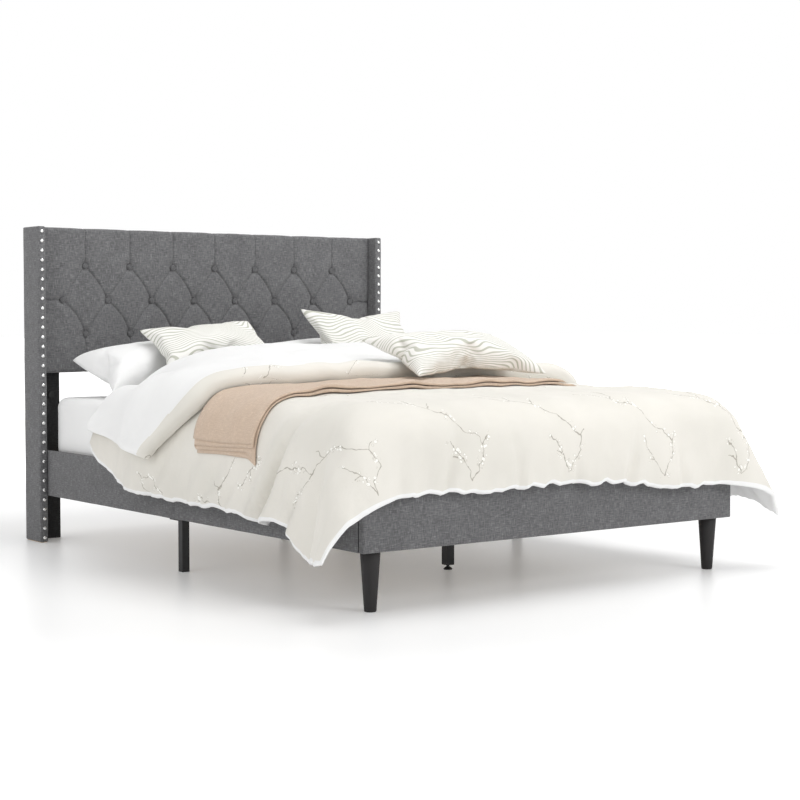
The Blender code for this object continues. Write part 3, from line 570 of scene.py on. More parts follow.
def build_panel():
    low, high = corners("headboard_tufted_pad")
    rows = button_grid()
    lines = pleat_lines(rows, low, high)
    roll, side_roll, spacing = 0.012, 0.007, 0.003
    back, front = high[1], low[1] + 0.0006
    arc = np.linspace(0, math.pi / 2, 7)
    straight = np.linspace(low[2] + roll, high[2] - roll, int((high[2] - low[2]) / spacing))[1:-1]

    def rolled(ahead, aside, edge, way):
        """A place on a rolled edge, and its way out."""
        return front + roll * (1 - ahead), edge - way * roll * (1 - aside), -ahead, way * aside
    front_path = ([rolled(math.sin(a), math.cos(a), low[2], -1) for a in arc]
                  + [(front, z, -1.0, 0.0) for z in straight]
                  + [rolled(math.cos(a), math.sin(a), high[2], 1) for a in arc])
    top_path = [(y, high[2], 0.0, 1.0) for y in np.linspace(front + roll, back, 8)[1:]]
    low_path = [(y, low[2], 0.0, -1.0) for y in np.linspace(back, front + roll, 8)[:-1]]
    path = np.array(low_path + front_path + top_path)
    lip, room_y = 0.005, back - 0.015
    inner = np.array([(back, high[2] - lip), (room_y, high[2] - lip), (room_y, low[2] + lip),
                      (back, low[2] + lip)])
    ends = side_roll * (1 - np.cos(np.linspace(0, math.pi / 2, 5)))
    xs = np.concatenate([low[0] + ends, np.linspace(low[0] + side_roll, high[0] - side_roll,
                                                    int((high[0] - low[0]) / spacing))[1:-1],
                         (high[0] - ends)[::-1]])
    grid_x, grid_z = np.meshgrid(xs, path[:, 1], indexing="ij")
    depth = tuft_depth(grid_x, grid_z, rows, lines)
    flat_top = np.clip((path[:, 0] - front - roll) / 0.012, 0, 1)
    depth *= (1 - 0.8 * flat_top)
    puff = 0.0010 * ripple(np.stack([grid_x, grid_z], axis=-1), 0.11, 5)
    edge = np.minimum(grid_x - low[0], high[0] - grid_x)
    draw_in = side_roll * (1 - rounded(edge, side_roll))
    depth = depth + np.clip(puff, 0, 1) + draw_in * (1 - flat_top)
    length = walked(path[:, :2])
    rings, uvs = [], []
    for i, x in enumerate(xs):
        outer = np.stack([np.full(len(path), x), path[:, 0] - path[:, 2] * depth[i],
                          path[:, 1] - path[:, 3] * depth[i]], axis=1)
        rings.append(np.concatenate([outer, np.insert(inner, 0, x, axis=1)]))
        uvs.append(np.stack([np.full(len(path) + 4, x), np.append(length, [length[-1] + 0.005] * 4)], axis=1))
    pad = new_mesh("tufted_pad", np.concatenate(rings), tube_faces(len(xs), len(rings[0])),
                   np.concatenate(uvs), [GREY])
    stand_in(pad, "headboard_tufted_pad")

    face = low[1] + 0.005
    for (row, _), places in zip(BUTTON_ROWS, rows):
        profile = [(0.0004, 0.0072), (0.0088, 0.0070), (0.0108, 0.0052), (0.0111, 0.0036),
                   (0.0104, 0.0018), (0.0085, 0.0004), (0.0055, -0.0006), (0.0025, -0.0011),
                   (0.0003, -0.0012)]
        buttons = lathe(f"{row}_tuft_buttons", [(r, face + y) for r, y in profile],
                        [(x, 0.0, z) for x, z in places], BUTTON, "Y", 24)
        stand_in(buttons, f"tuft_button_row_{row}")


# ---------------- rails and legs
def build_rails():
    skin, lip = 0.0027, 0.022
    for side_name, side in SIDES:
        for end in ("head", "foot"):
            node = f"{side_name}_{end}_rail_cover"
            low, high = corners(node)
            cover = wrapped_bar(f"{side_name}_{end}_rail", low, high, 1, 0.0032, GREY, wobble=0.0003,
                                seed=20 + side, end_radius=0.0005, end_steps=3)
            inner, outer = sorted((low[0], high[0]), key=abs)
            room_x = sorted((inner + side * skin, outer - side * skin))
            mouth_x = sorted((inner - side * 0.01, inner + side * (skin + 0.001)))
            ys = (low[1] - 0.01, high[1] + 0.01)
            hollow(cover, ((room_x[0], ys[0], low[2] + skin), (room_x[1], ys[1], high[2] - skin)),
                   ((mouth_x[0], ys[0], low[2] + lip), (mouth_x[1], ys[1], high[2] - lip)))
            stand_in(cover, node)
    low, high = corners("foot_rail_cover")
    cover = wrapped_bar("foot_rail", low, high, 2, 0.0075, GREY, wobble=0.0004, seed=31,
                        end_radius=0.0036)
    hollow(cover, ((low[0] + skin, low[1] + skin, low[2] + skin),
                   (high[0] - skin, high[1] - skin, high[2] - skin)),
           ((low[0] + lip, high[1] - skin - 0.001, low[2] + lip),
            (high[0] - lip, high[1] + 0.01, high[2] - lip)))
    stand_in(cover, "foot_rail_cover")


def build_front_legs():
    for side_name, _ in SIDES:
        node = f"{side_name}_front_leg"
        low, high = corners(node)
        centre = (low + high) / 2
        wide, narrow, top = 0.0280, 0.0170, high[2] - 0.022
        profile = [(0.001, 0.0), (narrow - 0.0028, 0.0), (narrow - 0.0006, 0.0012), (narrow, 0.0035)]
        profile += [(lerp(narrow, wide, t), lerp(0.0035, top - 0.0015, t)) for t in (0.25, 0.5, 0.75, 1.0)]
        profile += [(wide - 0.0008, top - 0.0003), (wide - 0.002, top), (0.004, top), (0.004, high[2]),
                    (0.001, high[2])]
        leg = lathe(f"{side_name}_tapered_leg", profile, [(centre[0], centre[1], 0.0)], BLACK_WOOD, sides=64)
        stand_in(leg, node)


# ---------------- bedding
DRAPE_X, DRAPE_FOOT_Y = 0.600, -0.8525
EDGE_TOP, DOME, BED_TOP = 0.558, 0.012, 0.5092
SIDE_DROP, FOOT_DROP, CREASE_DROP = 0.430, 0.346, 0.235
LOFT, HEM_LOFT = 0.041, 0.016
BEND_LENGTH, HEAD_BEND_LENGTH = 0.26, 0.15
HANG, HEAD_HANG, FIRST_SLOPE = math.radians(84), math.radians(52), math.radians(4)
FOOT_STEEPER, CORNER_FLARE = math.radians(5.6), math.radians(22)
CREASE_Y, FLAP_EDGE_Y, HEAD_HANG_Y = 0.4925, -0.218, 0.36
LONGER_CORNER, LONGER_FROM_Y = 0.10, -0.67
ROUNDED_HEAD, FLAP_LONGER = 0.38, 0.055
FLAP_RISE, FLAP_THIN, FLAP_LEFT_REACH = 0.128, 0.052, 0.645
FLAP_EDGE_SHARE, FLAP_FOLD_SHARE = 0.80, 0.18
FLAP_SWING, SWING_FROM, SWING_OVER = 0.235, 0.12, 0.19
FLAP_GAP, FLAP_MOUTH, FLAP_LEAST = 0.0025, 0.018, 0.014
PINCH_LOFT, BEND_STEPS = 0.018, 24
PRINT_BAND, WHITE_HEM, PRINT_START = 0.034, 0.013, 0.03
FLAP_HEM_ROUND, HEM_ROUND = 0.022, 0.014
FAR = 9.0                         # stands for a hem that isn't near


def side_length(along, side, outer=1.0):
    """Cloth past the drape line: rounded at the head, longer by the left foot corner."""
    share = np.clip((CREASE_Y - along) / ROUNDED_HEAD, 0, 1)
    plain = CREASE_DROP + (SIDE_DROP - CREASE_DROP) * np.sqrt(1 - (1 - share) ** 2)
    toward = smooth((LONGER_FROM_Y - along) / (LONGER_FROM_Y - DRAPE_FOOT_Y))
    beyond = 1 - np.clip((DRAPE_FOOT_Y - along) / FOOT_DROP, 0, 1) ** 2
    return plain + LONGER_CORNER * toward * beyond * outer ** 3 * (side < 0)


def flap_length(along):
    """Cloth past the drape line in the turned-back part."""
    return CREASE_DROP + FLAP_LONGER * np.clip((CREASE_Y - along) / 0.355, 0, 1.3)


def bed_frame(side, flat_x, run_x, along):
    """Points and normals of the comforter's top before its folds and swells."""
    run_y = np.maximum(DRAPE_FOOT_Y - along, 0)
    flat_y = np.maximum(along, DRAPE_FOOT_Y)
    run = np.hypot(run_x, run_y)
    turn = np.arctan2(run_y, np.maximum(run_x, 1e-9))
    turn = np.where(run > 0, turn, 0.0)
    hang = HANG + FOOT_STEEPER * np.sin(turn) ** 2 - CORNER_FLARE * np.sin(2 * turn) ** 2
    at_fold = smooth((along - HEAD_HANG_Y) / (CREASE_Y - HEAD_HANG_Y))
    hang = hang + (HEAD_HANG - HANG) * at_fold
    bend = lerp(BEND_LENGTH, HEAD_BEND_LENGTH, at_fold)
    out, drop = np.zeros_like(run), np.zeros_like(run)
    for step in range(BEND_STEPS):
        slope = FIRST_SLOPE + (hang - FIRST_SLOPE) * smooth((step + 0.5) / BEND_STEPS * run / bend)
        out += np.cos(slope) * run / BEND_STEPS
        drop += np.sin(slope) * run / BEND_STEPS
    slope = np.where(run > 0, FIRST_SLOPE + (hang - FIRST_SLOPE) * smooth(run / bend), 0.0)
    turn = turn - 0.15 * np.sin(2 * turn)
    plan = np.stack([side * np.cos(turn), -np.sin(turn), np.zeros_like(turn)], axis=-1)
    dome = DOME * (1 - (flat_x / DRAPE_X) ** 2) * smooth((flat_y - DRAPE_FOOT_Y) / 0.25)
    base = np.stack([side * flat_x, flat_y, EDGE_TOP + dome - drop], axis=-1)
    normal = plan * np.sin(slope)[..., None]
    normal[..., 2] = np.cos(slope)
    return base + plan * out[..., None], normal, run


def valley(along, run_x, start, end, width, depth):
    """A crease with raised lips: a line on the cloth from its deep start to its end."""
    reach = np.subtract(end, start)
    size = np.hypot(*reach)
    way = reach / size
    share = ((along - start[0]) * way[0] + (run_x - start[1]) * way[1]) / size
    off = (run_x - start[1]) * way[0] - (along - start[0]) * way[1]
    off = off - 0.10 * size * share * (1 - share)
    fade = smooth(1 - share) * smooth((share + 0.25) / 0.25)
    groove = -np.exp(-(off / width) ** 2) + 0.55 * np.exp(-((np.abs(off) - 2.2 * width) / (1.3 * width)) ** 2)
    return depth * fade * groove


LEFT_VALLEYS = (
    # (along, run) of the deep start and of the far end, half width, depth
    ((-0.5575, 0.44), (-0.80, 0.02), 0.017, 0.042), ((-0.20, 0.46), (-0.42, 0.20), 0.020, 0.014),
    ((-0.70, 0.46), (-0.84, 0.20), 0.014, 0.014), ((0.06, 0.42), (-0.08, 0.22), 0.018, 0.013),
    ((-0.36, 0.44), (-0.46, 0.27), 0.013, 0.009),
)
FOOT_VALLEYS = (
    # (across, run) in the same way, on the part that hangs over the foot
    ((-0.46, 0.34), (-0.40, 0.06), 0.016, 0.012), ((-0.20, 0.35), (-0.24, 0.14), 0.013, 0.010),
    ((0.03, 0.35), (0.01, 0.20), 0.012, 0.010), ((0.22, 0.35), (0.28, 0.10), 0.015, 0.011),
    ((0.45, 0.35), (0.41, 0.16), 0.013, 0.010),
)


def top_swell(side, flat_x, run_x, along, point, run):
    """How far the comforter's top stands out: dimples, hanging folds and creases."""
    cloth = np.stack([side * (flat_x + run_x), along], axis=-1)
    dimples = 0.0035 * (1 + ripple(cloth, 0.34, 11, 2)) + 0.0016 * ripple(cloth, 0.10, 12, 2)
    hanging = smooth((run - 0.06) / 0.25)
    folds = hanging * (0.009 * ripple(point * [1, 1, 0.25], 0.26, 13, 2)
                       + 0.0025 * ripple(point * [1, 1, 0.35], 0.075, 14, 2))
    run_y = np.maximum(DRAPE_FOOT_Y - along, 0)
    swell = dimples + folds
    on_side = np.where(side < 0, 1.0, 0.6) * (run_x > 0.02)
    for line in LEFT_VALLEYS:
        swell += valley(along, run_x, *line) * on_side
    for line in FOOT_VALLEYS:
        swell += valley(side * flat_x, run_y, *line) * (run_y > 0) * (run_x <= 0)
    return swell


def full_loft(point, run, along):
    """Thickness of the lower layer, apart from its hems."""
    beside_fold = 0.007 * smooth((along - 0.32) / 0.10) * smooth(run / 0.03)
    return np.where(run > 0, LOFT - beside_fold, point[..., 2] - BED_TOP)


def lower_top(side, flat_x, run_x, along):
    """Points and normals of the lower layer's top, its run, and its thickness."""
    point, normal, run = bed_frame(side, flat_x, run_x, along)
    swell = top_swell(side, flat_x, run_x, along, point, run)
    loft = full_loft(point, run, along)
    pinch = smooth((along - 0.15) / 0.25) * smooth((flat_x + run_x - 0.48) / 0.16)
    rise = swell * (1 - pinch) - np.maximum(loft - PINCH_LOFT, 0) * pinch
    return point + normal * rise[..., None], normal, run, loft + rise


def flap_edge(run_x):
    """Where the turned-back part ends: it swings towards the head down the side."""
    return FLAP_EDGE_Y + FLAP_SWING * smooth((run_x - SWING_FROM) / SWING_OVER)


def flap_gap(side, run_x, along):
    """Room under the turned-back part: it stands open at the left side's corner."""
    mouth = smooth((run_x - SWING_FROM) / 0.09) * smooth((along - 0.02) / 0.12) * (side < 0)
    return FLAP_GAP + FLAP_MOUTH * mouth


def flap_top(side, flat_x, run_x, along):
    """Height of the turned-back part's top over the lower layer."""
    lean = FLAP_RISE - FLAP_THIN * smooth((CREASE_Y - along) / (CREASE_Y - FLAP_EDGE_Y))
    fade = 1 - smooth((run_x - 0.05) / 0.20)
    at_edge = lerp(FLAP_EDGE_SHARE, 1.0, fade)
    at_fold = lerp(FLAP_FOLD_SHARE, 1.0, fade)
    sloped = np.minimum(1 - (flat_x / FLAP_LEFT_REACH) ** 3.2, at_fold)
    at_fold = np.where(side < 0, np.maximum(sloped, FLAP_FOLD_SHARE), at_fold)
    return np.maximum(lean * lerp(at_edge, at_fold, smooth((along + 0.15) / 0.60)),
                      flap_gap(side, run_x, along) + FLAP_LEAST)


def two_skins(first, second, first_uvs, second_uvs, flip):
    """Vertices, faces and UVs of a closed skin: two grids of points that share their rim."""
    shape, count = first.shape[:2], first[..., 0].size
    index = np.arange(count).reshape(shape)
    other = index + count
    rim = np.ones(shape, bool)
    rim[1:-1, 1:-1] = False
    other[rim] = index[rim]
    keep = np.concatenate([np.ones(count, bool), ~rim.ravel()])
    renumber = np.cumsum(keep) - 1

    def quads(ids, turned):
        ids = renumber[ids]
        a, b, c, d = ids[:-1, :-1], ids[:-1, 1:], ids[1:, 1:], ids[1:, :-1]
        return np.stack((d, c, b, a) if turned else (a, b, c, d), axis=-1).reshape(-1, 4)
    verts = np.concatenate([first.reshape(-1, 3), second.reshape(-1, 3)])[keep]
    uvs = np.concatenate([first_uvs.reshape(-1, 2), second_uvs.reshape(-1, 2)])[keep]
    return verts, np.concatenate([quads(index, flip), quads(other, not flip)]), uvs


def spaced(*stops):
    """Numbers from the first stop on, as (end, step) pairs."""
    values = [stops[0]]
    for end, step in stops[1:]:
        count = max(int(round((end - values[-1]) / step)), 1)
        values += list(np.linspace(values[-1], end, count + 1)[1:])
    return np.array(values)


def comforter_columns():
    """Side, place on the flat top and share of the drop of each column, from left hem to right hem."""
    hem_steps = spaced(0.0, (0.004, 0.002), (0.02, 0.004), (SIDE_DROP, 0.013))[::-1]
    beyond = 1 - hem_steps[1:] / SIDE_DROP          # share of the drop, from its start to the hem
    half_u = np.concatenate([np.linspace(0, 1, 47) * 0.5, 0.5 + 0.5 * beyond])
    u = np.concatenate([-half_u[:0:-1], half_u])
    side = np.where(u < 0, -1.0, 1.0)
    flat_x = np.clip(np.abs(u) / 0.5, 0, 1) * DRAPE_X
    share = np.clip(np.abs(u) / 0.5 - 1, 0, 1)
    return side, flat_x, share


def spread(rows, columns):
    """The columns' values repeated on each row of a block."""
    shape = (len(rows), len(columns[0]))
    return [np.broadcast_to(values, shape).copy() for values in columns]


def comforter_fold(columns):
    """The fold in each column: where it starts, its radius, its centre's height, and the half
    thickness over and under it."""
    side, flat_x, share = columns
    crease_run = share * CREASE_DROP
    near_fold = np.full_like(share, CREASE_Y - 0.04)
    loft_at_fold = lower_top(side, flat_x, crease_run, near_fold)[3]
    gap = flap_gap(side, crease_run, near_fold)
    top_at_fold = flap_top(side, flat_x, crease_run, near_fold)
    upper_mid, upper_half = (gap + top_at_fold) / 2, (top_at_fold - gap) / 2
    lower_mid, lower_half = -loft_at_fold / 2, loft_at_fold / 2
    radius, centre = (upper_mid - lower_mid) / 2, (upper_mid + lower_mid) / 2
    return CREASE_Y - radius - (upper_half + lower_half) / 2, radius, centre, upper_half, lower_half


def turned_back_block(rows, columns, fold_y):
    """The turned-back part, from its free edge to the fold, as every block is given: middle
    points, way out, half thickness, cloth length across, and lengths from free edge and hem."""
    s, fx, sh = spread(rows, columns)
    rx = sh * flap_length(0.2)
    for _ in range(3):
        edge = flap_edge(rx)
        along = edge + rows[:, None] * (fold_y - edge)
        rx = sh * flap_length(along)
    point, normal = lower_top(s, fx, rx, along)[:2]
    top = flap_top(s, fx, rx, along)
    gap = flap_gap(s, rx, along)
    from_edge = along - edge
    side_hem = (1 - sh) * flap_length(along)
    round_off = rounded(from_edge, 0.040) * rounded(side_hem, FLAP_HEM_ROUND)
    cloth = np.stack([s * (fx + rx), along], axis=-1)
    plump = 1 + 0.05 * ripple(cloth, 0.30, 21, 2)
    middle = point + normal * ((gap + top * plump) / 2)[..., None]
    return middle, normal, (top * plump - gap) / 2 * round_off, s * (fx + rx), from_edge, side_hem


def fold_block(rows, columns, fold):
    """The fold itself: rows are angles round its centre."""
    fold_y, radius, centre, upper_half, lower_half = fold
    s, fx, sh = spread(rows, columns)
    phi = rows[:, None]
    rx = sh * CREASE_DROP
    offset = centre + radius * np.cos(phi)
    point, normal = lower_top(s, fx, rx, np.broadcast_to(fold_y, s.shape).copy())[:2]
    half = lerp(upper_half, lower_half, smooth(phi / math.pi))
    middle = point + normal * offset[..., None]
    middle[..., 1] += radius * np.sin(phi)
    out = normal * np.cos(phi)[..., None]
    out[..., 1] += np.sin(phi)
    side_hem = (1 - sh) * CREASE_DROP
    return (middle, out, half * rounded(side_hem, FLAP_HEM_ROUND), s * (fx + rx),
            np.full(s.shape, FAR), side_hem)


def lower_block(rows, columns, fold_y):
    """The lower layer, from the fold to the hem at the foot."""
    s, fx, sh = spread(rows, columns)
    hem_spot = np.stack([s * fx, s], -1)
    end_y = DRAPE_FOOT_Y - FOOT_DROP * (1 + 0.022 * ripple(hem_spot, 0.33, 41, 2)
                                        + 0.012 * ripple(hem_spot, 0.07, 44, 2)
                                        + 0.10 * smooth(s * fx / 0.5) * (1 - sh))
    along = fold_y + rows[:, None] * (end_y - fold_y)
    from_fold = along + (CREASE_Y - fold_y) * smooth(along / 0.3)
    hem_spot = np.stack([along, s], -1)
    uneven = 0.018 * ripple(hem_spot, 0.36, 42, 2) + 0.010 * ripple(hem_spot, 0.075, 45, 2)
    uneven = uneven + 0.028 * np.exp(-((along + 0.555) / 0.030) ** 2) * (s < 0)     # below the deep crease
    uneven = 1 + uneven * smooth(rows / 0.2)[:, None]
    length = side_length(from_fold, s) * uneven
    rx = sh * side_length(from_fold, s, sh) * uneven
    point, normal, _, loft = lower_top(s, fx, rx, along)
    side_hem = length - rx
    foot_hem = along - end_y
    hem = np.minimum(side_hem, foot_hem)
    loft = lerp(loft, np.minimum(loft, HEM_LOFT), smooth(1 - hem / 0.10))
    pucker = 0.0042 * np.exp(-hem / 0.040) * ripple(point * [1, 1, 0.15], 0.050, 43, 2)
    pinched = smooth((along - 0.10) / 0.15) * smooth((rx - 0.10) / 0.06) * (s < 0)
    pucker = pucker + 0.0040 * pinched * (1 + ripple(np.stack([along, 0.2 * rx], -1), 0.040, 46, 2))
    pucker = pucker * smooth(np.maximum(side_hem, foot_hem) / 0.16)      # the corner hangs plain
    round_off = rounded(side_hem, HEM_ROUND) * rounded(foot_hem, HEM_ROUND)
    middle = point + normal * (pucker - loft / 2)[..., None]
    return middle, -normal, loft / 2 * round_off, s * (fx + rx), np.full(s.shape, FAR), hem


def face_mean(values):
    """The mean of a grid's values over each of its faces."""
    return (values[:-1, :-1] + values[:-1, 1:] + values[1:, 1:] + values[1:, :-1]).ravel() / 4


def build_comforter():
    columns = comforter_columns()
    fold = comforter_fold(columns)
    flap_rows = spaced(0.0, (0.006, 0.002), (0.05, 0.006), (0.63, 0.0135)) / 0.63
    reach = CREASE_Y - DRAPE_FOOT_Y + FOOT_DROP - 0.07
    lower_rows = (reach - spaced(0.0, (0.004, 0.002), (0.02, 0.004), (reach, 0.0135))[::-1]) / reach
    blocks = (turned_back_block(flap_rows, columns, fold[0]),
              fold_block(np.linspace(0, math.pi, 15)[1:-1], columns, fold),
              lower_block(lower_rows, columns, fold[0]))
    middle, out, half, across, to_free, to_hem = (np.concatenate(parts) for parts in zip(*blocks))
    skins = middle + out * half[..., None], middle - out * half[..., None]      # white, printed
    places = []
    for skin in skins:
        length = walked(skin)
        places.append(np.stack([across, length - length[-1] + PRINT_START], axis=-1))
    verts, faces, uvs = two_skins(*skins, *places, False)
    rows, cols = half.shape
    is_lower = np.repeat(np.arange(rows - 1) >= len(flap_rows), cols - 1)
    outside = (face_mean(to_free) < PRINT_BAND).astype(int)
    inside = np.where((face_mean(to_hem) < WHITE_HEM) & is_lower, 0, 1)
    comforter = new_mesh("comforter_quilt", verts, faces.tolist(), uvs, [WHITE, PRINT],
                         np.concatenate([outside, inside]))
    stand_in(comforter, "comforter")


def build_throw():
    """A blanket folded lengthwise into four layers, laid across the comforter."""
    low, high = corners("throw_blanket")
    foot_y, head_y = low[1] + 0.004, high[1] - 0.004
    width = head_y - foot_y
    pitch, thick, layers = 0.0046, 0.0026, 4
    left_end, right_end = DRAPE_X + 0.271, 0.452
    across = np.linspace(0, 1, 24)
    path, which = [], []
    for layer in range(layers):
        level = pitch * (layer + 0.5)
        run = across[::-1] if layer % 2 == 0 else across
        path += [(w * width, level) for w in run]
        which += [layer] * len(run)
        if layer < layers - 1:
            edge = 0.0 if layer % 2 == 0 else width
            outward = -1 if layer % 2 == 0 else 1
            for angle in (math.pi / 4, math.pi / 2, 3 * math.pi / 4):
                path.append((edge + outward * pitch / 2 * math.sin(angle),
                             level + pitch / 2 * (1 - math.cos(angle))))
                which.append(layer + angle / math.pi)
    path, which = np.array(path), np.array(which)
    step = np.gradient(path, axis=0)
    step /= np.linalg.norm(step, axis=1)[:, None]
    sideways = np.stack([-step[:, 1], step[:, 0]], axis=1)
    stations = np.linspace(0, 1, 112)[:, None]
    which = which[None, :]
    length = walked(path)

    def skin(offset):
        flat = path + sideways * offset
        w = flat[:, 0][None, :]
        stagger = 0.014 * which + 0.004 * np.sin(3 * w / width + which)
        corner = 0.016 * np.clip(1 - w / 0.035, 0, 1) * (which < 1.2)
        start = -(left_end - stagger + corner)
        end = right_end - 0.022 * which
        x = start + (end - start) * stations
        along = foot_y + w + 0.010 * np.sin(stations * 5.0 + 0.6) * smooth(1 - np.abs(x) / 1.2)
        side = np.where(x < 0, -1.0, 1.0)
        fx = np.minimum(np.abs(x), DRAPE_X)
        rx = np.maximum(np.abs(x) - DRAPE_X, 0)
        point, normal = lower_top(side, fx, rx, along)[:2]
        cloth = np.stack([x, along], axis=-1)
        loose = 0.0022 * (1 + ripple(cloth, 0.20, 51, 2)) * (0.3 + 0.7 * which / 3)
        rise = flat[:, 1][None, :] * (1 + 0.18 * ripple(cloth, 0.25, 52, 1)) + 0.0015 + loose
        uv = np.stack([x, np.broadcast_to(length[None, :], x.shape)], axis=-1)
        return point + normal * rise[..., None], uv

    outer, uv_outer = skin(thick / 2)
    inner, uv_inner = skin(-thick / 2)
    rings = np.concatenate([outer, inner[:, ::-1]], axis=1)
    uvs = np.concatenate([uv_outer, uv_inner[:, ::-1]], axis=1)
    count, ring_size = rings.shape[:2]
    faces = tube_faces(count, ring_size)[:-2]
    for start in (0, (count - 1) * ring_size):
        for i in range(len(path) - 1):
            quad = (start + i, start + i + 1, start + ring_size - 2 - i, start + ring_size - 1 - i)
            faces.append(quad if start else tuple(reversed(quad)))
    throw = new_mesh("throw_blanket_folded", rings.reshape(-1, 3), faces, uvs.reshape(-1, 2), [WOOL])
    stand_in(throw, "throw_blanket")


PILLOWS = (
    # node, (width, depth), (crown above, below), centre, (tilt, roll, turn)
    ("sleeping_pillow_left", (0.63, 0.34), (0.122, 0.055), (-0.315, 0.748, 0.588), (18, 0, 0)),
    ("sleeping_pillow_right", (0.63, 0.34), (0.122, 0.055), (0.322, 0.748, 0.588), (18, 0, 0)),
    ("lumbar_pillow_left", (0.45, 0.265), (0.070, 0.012), (-0.235, 0.609, 0.686), (34, -4, -3)),
    ("lumbar_pillow_right", (0.49, 0.305), (0.062, 0.020), (0.440, 0.625, 0.708), (55, 0, 2)),
    ("lumbar_pillow_front", (0.56, 0.350), (0.078, 0.022), (0.198, -0.225, 0.660), (20, 0, 0)),
)
PILLOW_FULLNESS, PANEL_STEP, PRESSURE, CLOTH_FRAMES = 0.8, 0.011, 4.0, 20


def simulate(obj):
    """Blow a closed cloth piece up with Cloth, and return its new points."""
    cloth = obj.modifiers.new("cloth", "CLOTH")
    settings = cloth.settings
    settings.quality = 5
    settings.mass = 0.2
    settings.tension_stiffness = settings.compression_stiffness = 20.0
    settings.shear_stiffness = 5.0
    settings.bending_stiffness = 0.3
    settings.use_pressure = True
    settings.uniform_pressure_force = PRESSURE
    settings.effector_weights.gravity = 0.0
    cloth.collision_settings.use_collision = False
    cloth.point_cache.frame_start = 1
    cloth.point_cache.frame_end = CLOTH_FRAMES
    for number in range(1, CLOTH_FRAMES + 1):
        bpy.context.scene.frame_set(number)
    graph = bpy.context.evaluated_depsgraph_get()
    points = np.empty(len(obj.data.vertices) * 3)
    obj.evaluated_get(graph).data.vertices.foreach_get("co", points)
    obj.modifiers.clear()
    bpy.context.scene.frame_set(1)
    return points.reshape(-1, 3)


def build_pillow(node, size, crown, centre, turns, seed):
    """Two flat panels sewn at the rim, blown up by Cloth, and set in their place."""
    cloth, slot = (WHITE, "sheet_white") if "sleeping" in node else (WAVES, "sham")
    width, depth = size
    cols, rows = int(width / PANEL_STEP), int(depth / PANEL_STEP)
    u, v = np.meshgrid(np.linspace(-1, 1, cols), np.linspace(-1, 1, rows), indexing="ij")
    body = np.sqrt((1 - u * u) * (1 - v * v))
    x, y = width / 2 * u, depth / 2 * v
    flat_uv = np.stack([x, y], axis=-1)
    top, under = (np.stack([x, y, way * 0.012 * body], -1) for way in (1, -1))
    verts, faces, uvs = two_skins(top, under, flat_uv + [0.7 * seed, 0], flat_uv + [0.7 * seed + 0.31, 0.17],
                                  True)
    pillow = new_mesh(node.replace("_pillow", "_cushion"), verts, faces.tolist(), uvs, [cloth])
    verts = simulate(pillow)
    reach = np.abs(verts).max(axis=0)
    verts = verts / reach * [width / 2 * 0.985, depth / 2 * 0.985, 1.0]
    slack = 0.0012 * ripple(verts * [1, 1, 0.05], 0.09, seed, 3)
    height = np.sign(verts[:, 2]) * np.abs(verts[:, 2]) ** PILLOW_FULLNESS
    verts[:, 2] = np.where(height > 0, height * crown[0], height * crown[1]) + slack
    turned = np.array(Euler([math.radians(turn) for turn in turns]).to_matrix())
    verts = verts @ turned.T + centre
    pillow.data.vertices.foreach_set("co", verts.ravel())
    pillow.data.update()
    fine = pillow.modifiers.new("fine", "SUBSURF")
    fine.levels = fine.render_levels = 1
    bake(pillow)
    stand_in(pillow, node)


def build_mattress():
    low, high = corners("mattress")
    mattress = wrapped_bar("fitted_mattress", low, high, 2, 0.080, WHITE, spacing=0.02, wobble=0.0015,
                           seed=61, end_radius=0.035, end_steps=7)
    stand_in(mattress, "mattress")


# ---------------- stage
AMBIENT = 0.55                    # the world's strength away from the backdrop and the horizon
BACKDROP_WAY, HORIZON_BAND = (0.603, 0.798, 0.0), 0.17
CAMERA_FROM_WING, CAMERA_HEIGHT, LENS = (-2.6076, -5.5291), 0.7847, 77.27
CAMERA_DOWN, CAMERA_TURN = math.radians(2.712), math.radians(-37.118)
FLOOR_HALF, FLOOR_GLOW, FLOOR_GLOW_MORE, GLOW_FROM = 60, 0.13, 0.55, 1.6
LAMPS = (
    # name, place, size, power
    ("top_light", (0.6, -0.6, 4.4), 3.2, 95.0),
    ("front_light", (1.6, -6.2, 3.4), 2.4, 110.0),
    ("left_light", (-6.0, -1.0, 3.0), 2.4, 60.0),
)


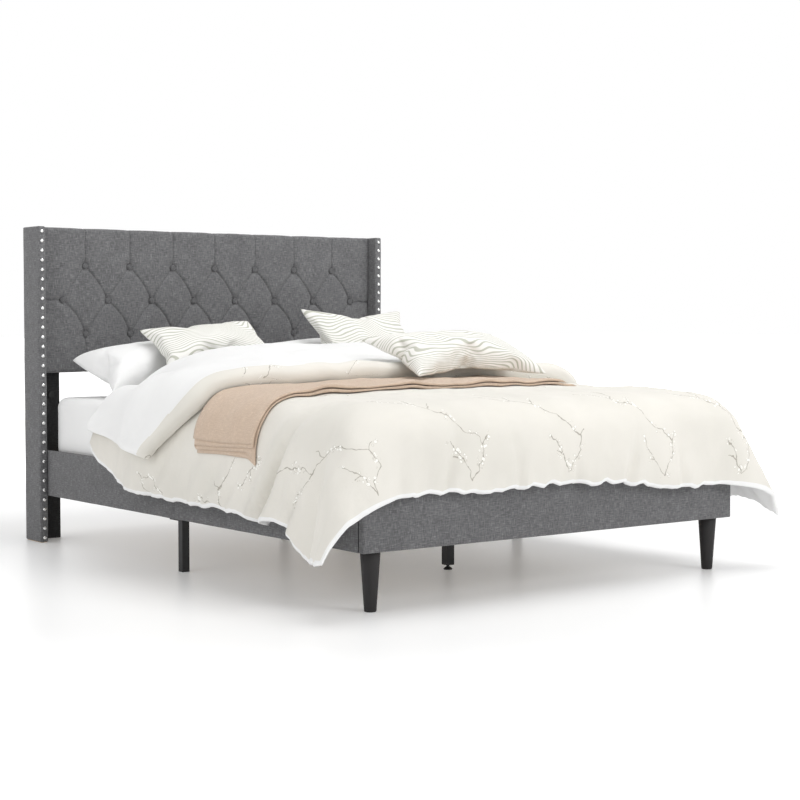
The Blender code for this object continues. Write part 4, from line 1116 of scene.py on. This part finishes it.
def build_stage():
    low, _ = corners("left_wing_cover")
    data = bpy.data.cameras.new("camera")
    camera = put("camera", data, (low[0] + CAMERA_FROM_WING[0], low[1] + CAMERA_FROM_WING[1], CAMERA_HEIGHT))
    camera.rotation_euler = (math.pi / 2 - CAMERA_DOWN, 0.0, CAMERA_TURN)
    data.sensor_width = 36.0
    data.lens = LENS
    bpy.context.scene.camera = camera
    bpy.context.scene.view_settings.view_transform = "Standard"

    world = bpy.data.worlds.new("studio")
    bpy.context.scene.world = world
    world.use_nodes = True
    tree = world.node_tree
    way = add(tree, "ShaderNodeTexCoord", output="Generated")
    backdrop = ((vectors("DOT_PRODUCT", way, BACKDROP_WAY, 1) - 0.72) * 5.0).clamped()
    height = maths("ABSOLUTE", vectors("DOT_PRODUCT", way, (0.0, 0.0, 1.0), 1))
    horizon = ((HORIZON_BAND - height) * 14.0).clamped()
    level = maths("MAXIMUM", backdrop, horizon) * (1.0 - AMBIENT) + AMBIENT
    level.feed(tree.nodes["Background"].inputs["Strength"])
    tree.nodes["Background"].inputs["Color"].default_value = (1, 1, 1, 1)

    mesh = bpy.data.meshes.new("floor")
    mesh.from_pydata([(x * FLOOR_HALF, y * FLOOR_HALF, 0) for x, y in ((-1, -1), (1, -1), (1, 1), (-1, 1))],
                     [], [(0, 1, 2, 3)])
    white, shader, place = new_material("floor_white", "Object", roughness=0.35, emission_color=(1, 1, 1, 1),
                                        base_color=(0.90, 0.90, 0.90, 1))
    away = ((vectors("LENGTH", place, output=1) - GLOW_FROM) * 0.4).clamped()
    (away * FLOOR_GLOW_MORE + FLOOR_GLOW).feed(shader.inputs["Emission Strength"])
    mesh.materials.append(white)
    put("floor", mesh)

    for name, place, size, power in LAMPS:
        lamp = bpy.data.lights.new(name, "AREA")
        lamp.size = size
        lamp.energy = power
        aim = Vector((0.0, -0.2, 0.3)) - Vector(place)
        put(name, lamp, place).rotation_euler = aim.to_track_quat("-Z", "Y").to_euler()


finish_frame()
build_wings()
build_nails()
build_panel()
build_rails()
build_front_legs()
build_mattress()
build_comforter()
build_throw()
for number, entry in enumerate(PILLOWS):
    build_pillow(*entry, seed=number + 70)
build_stage()
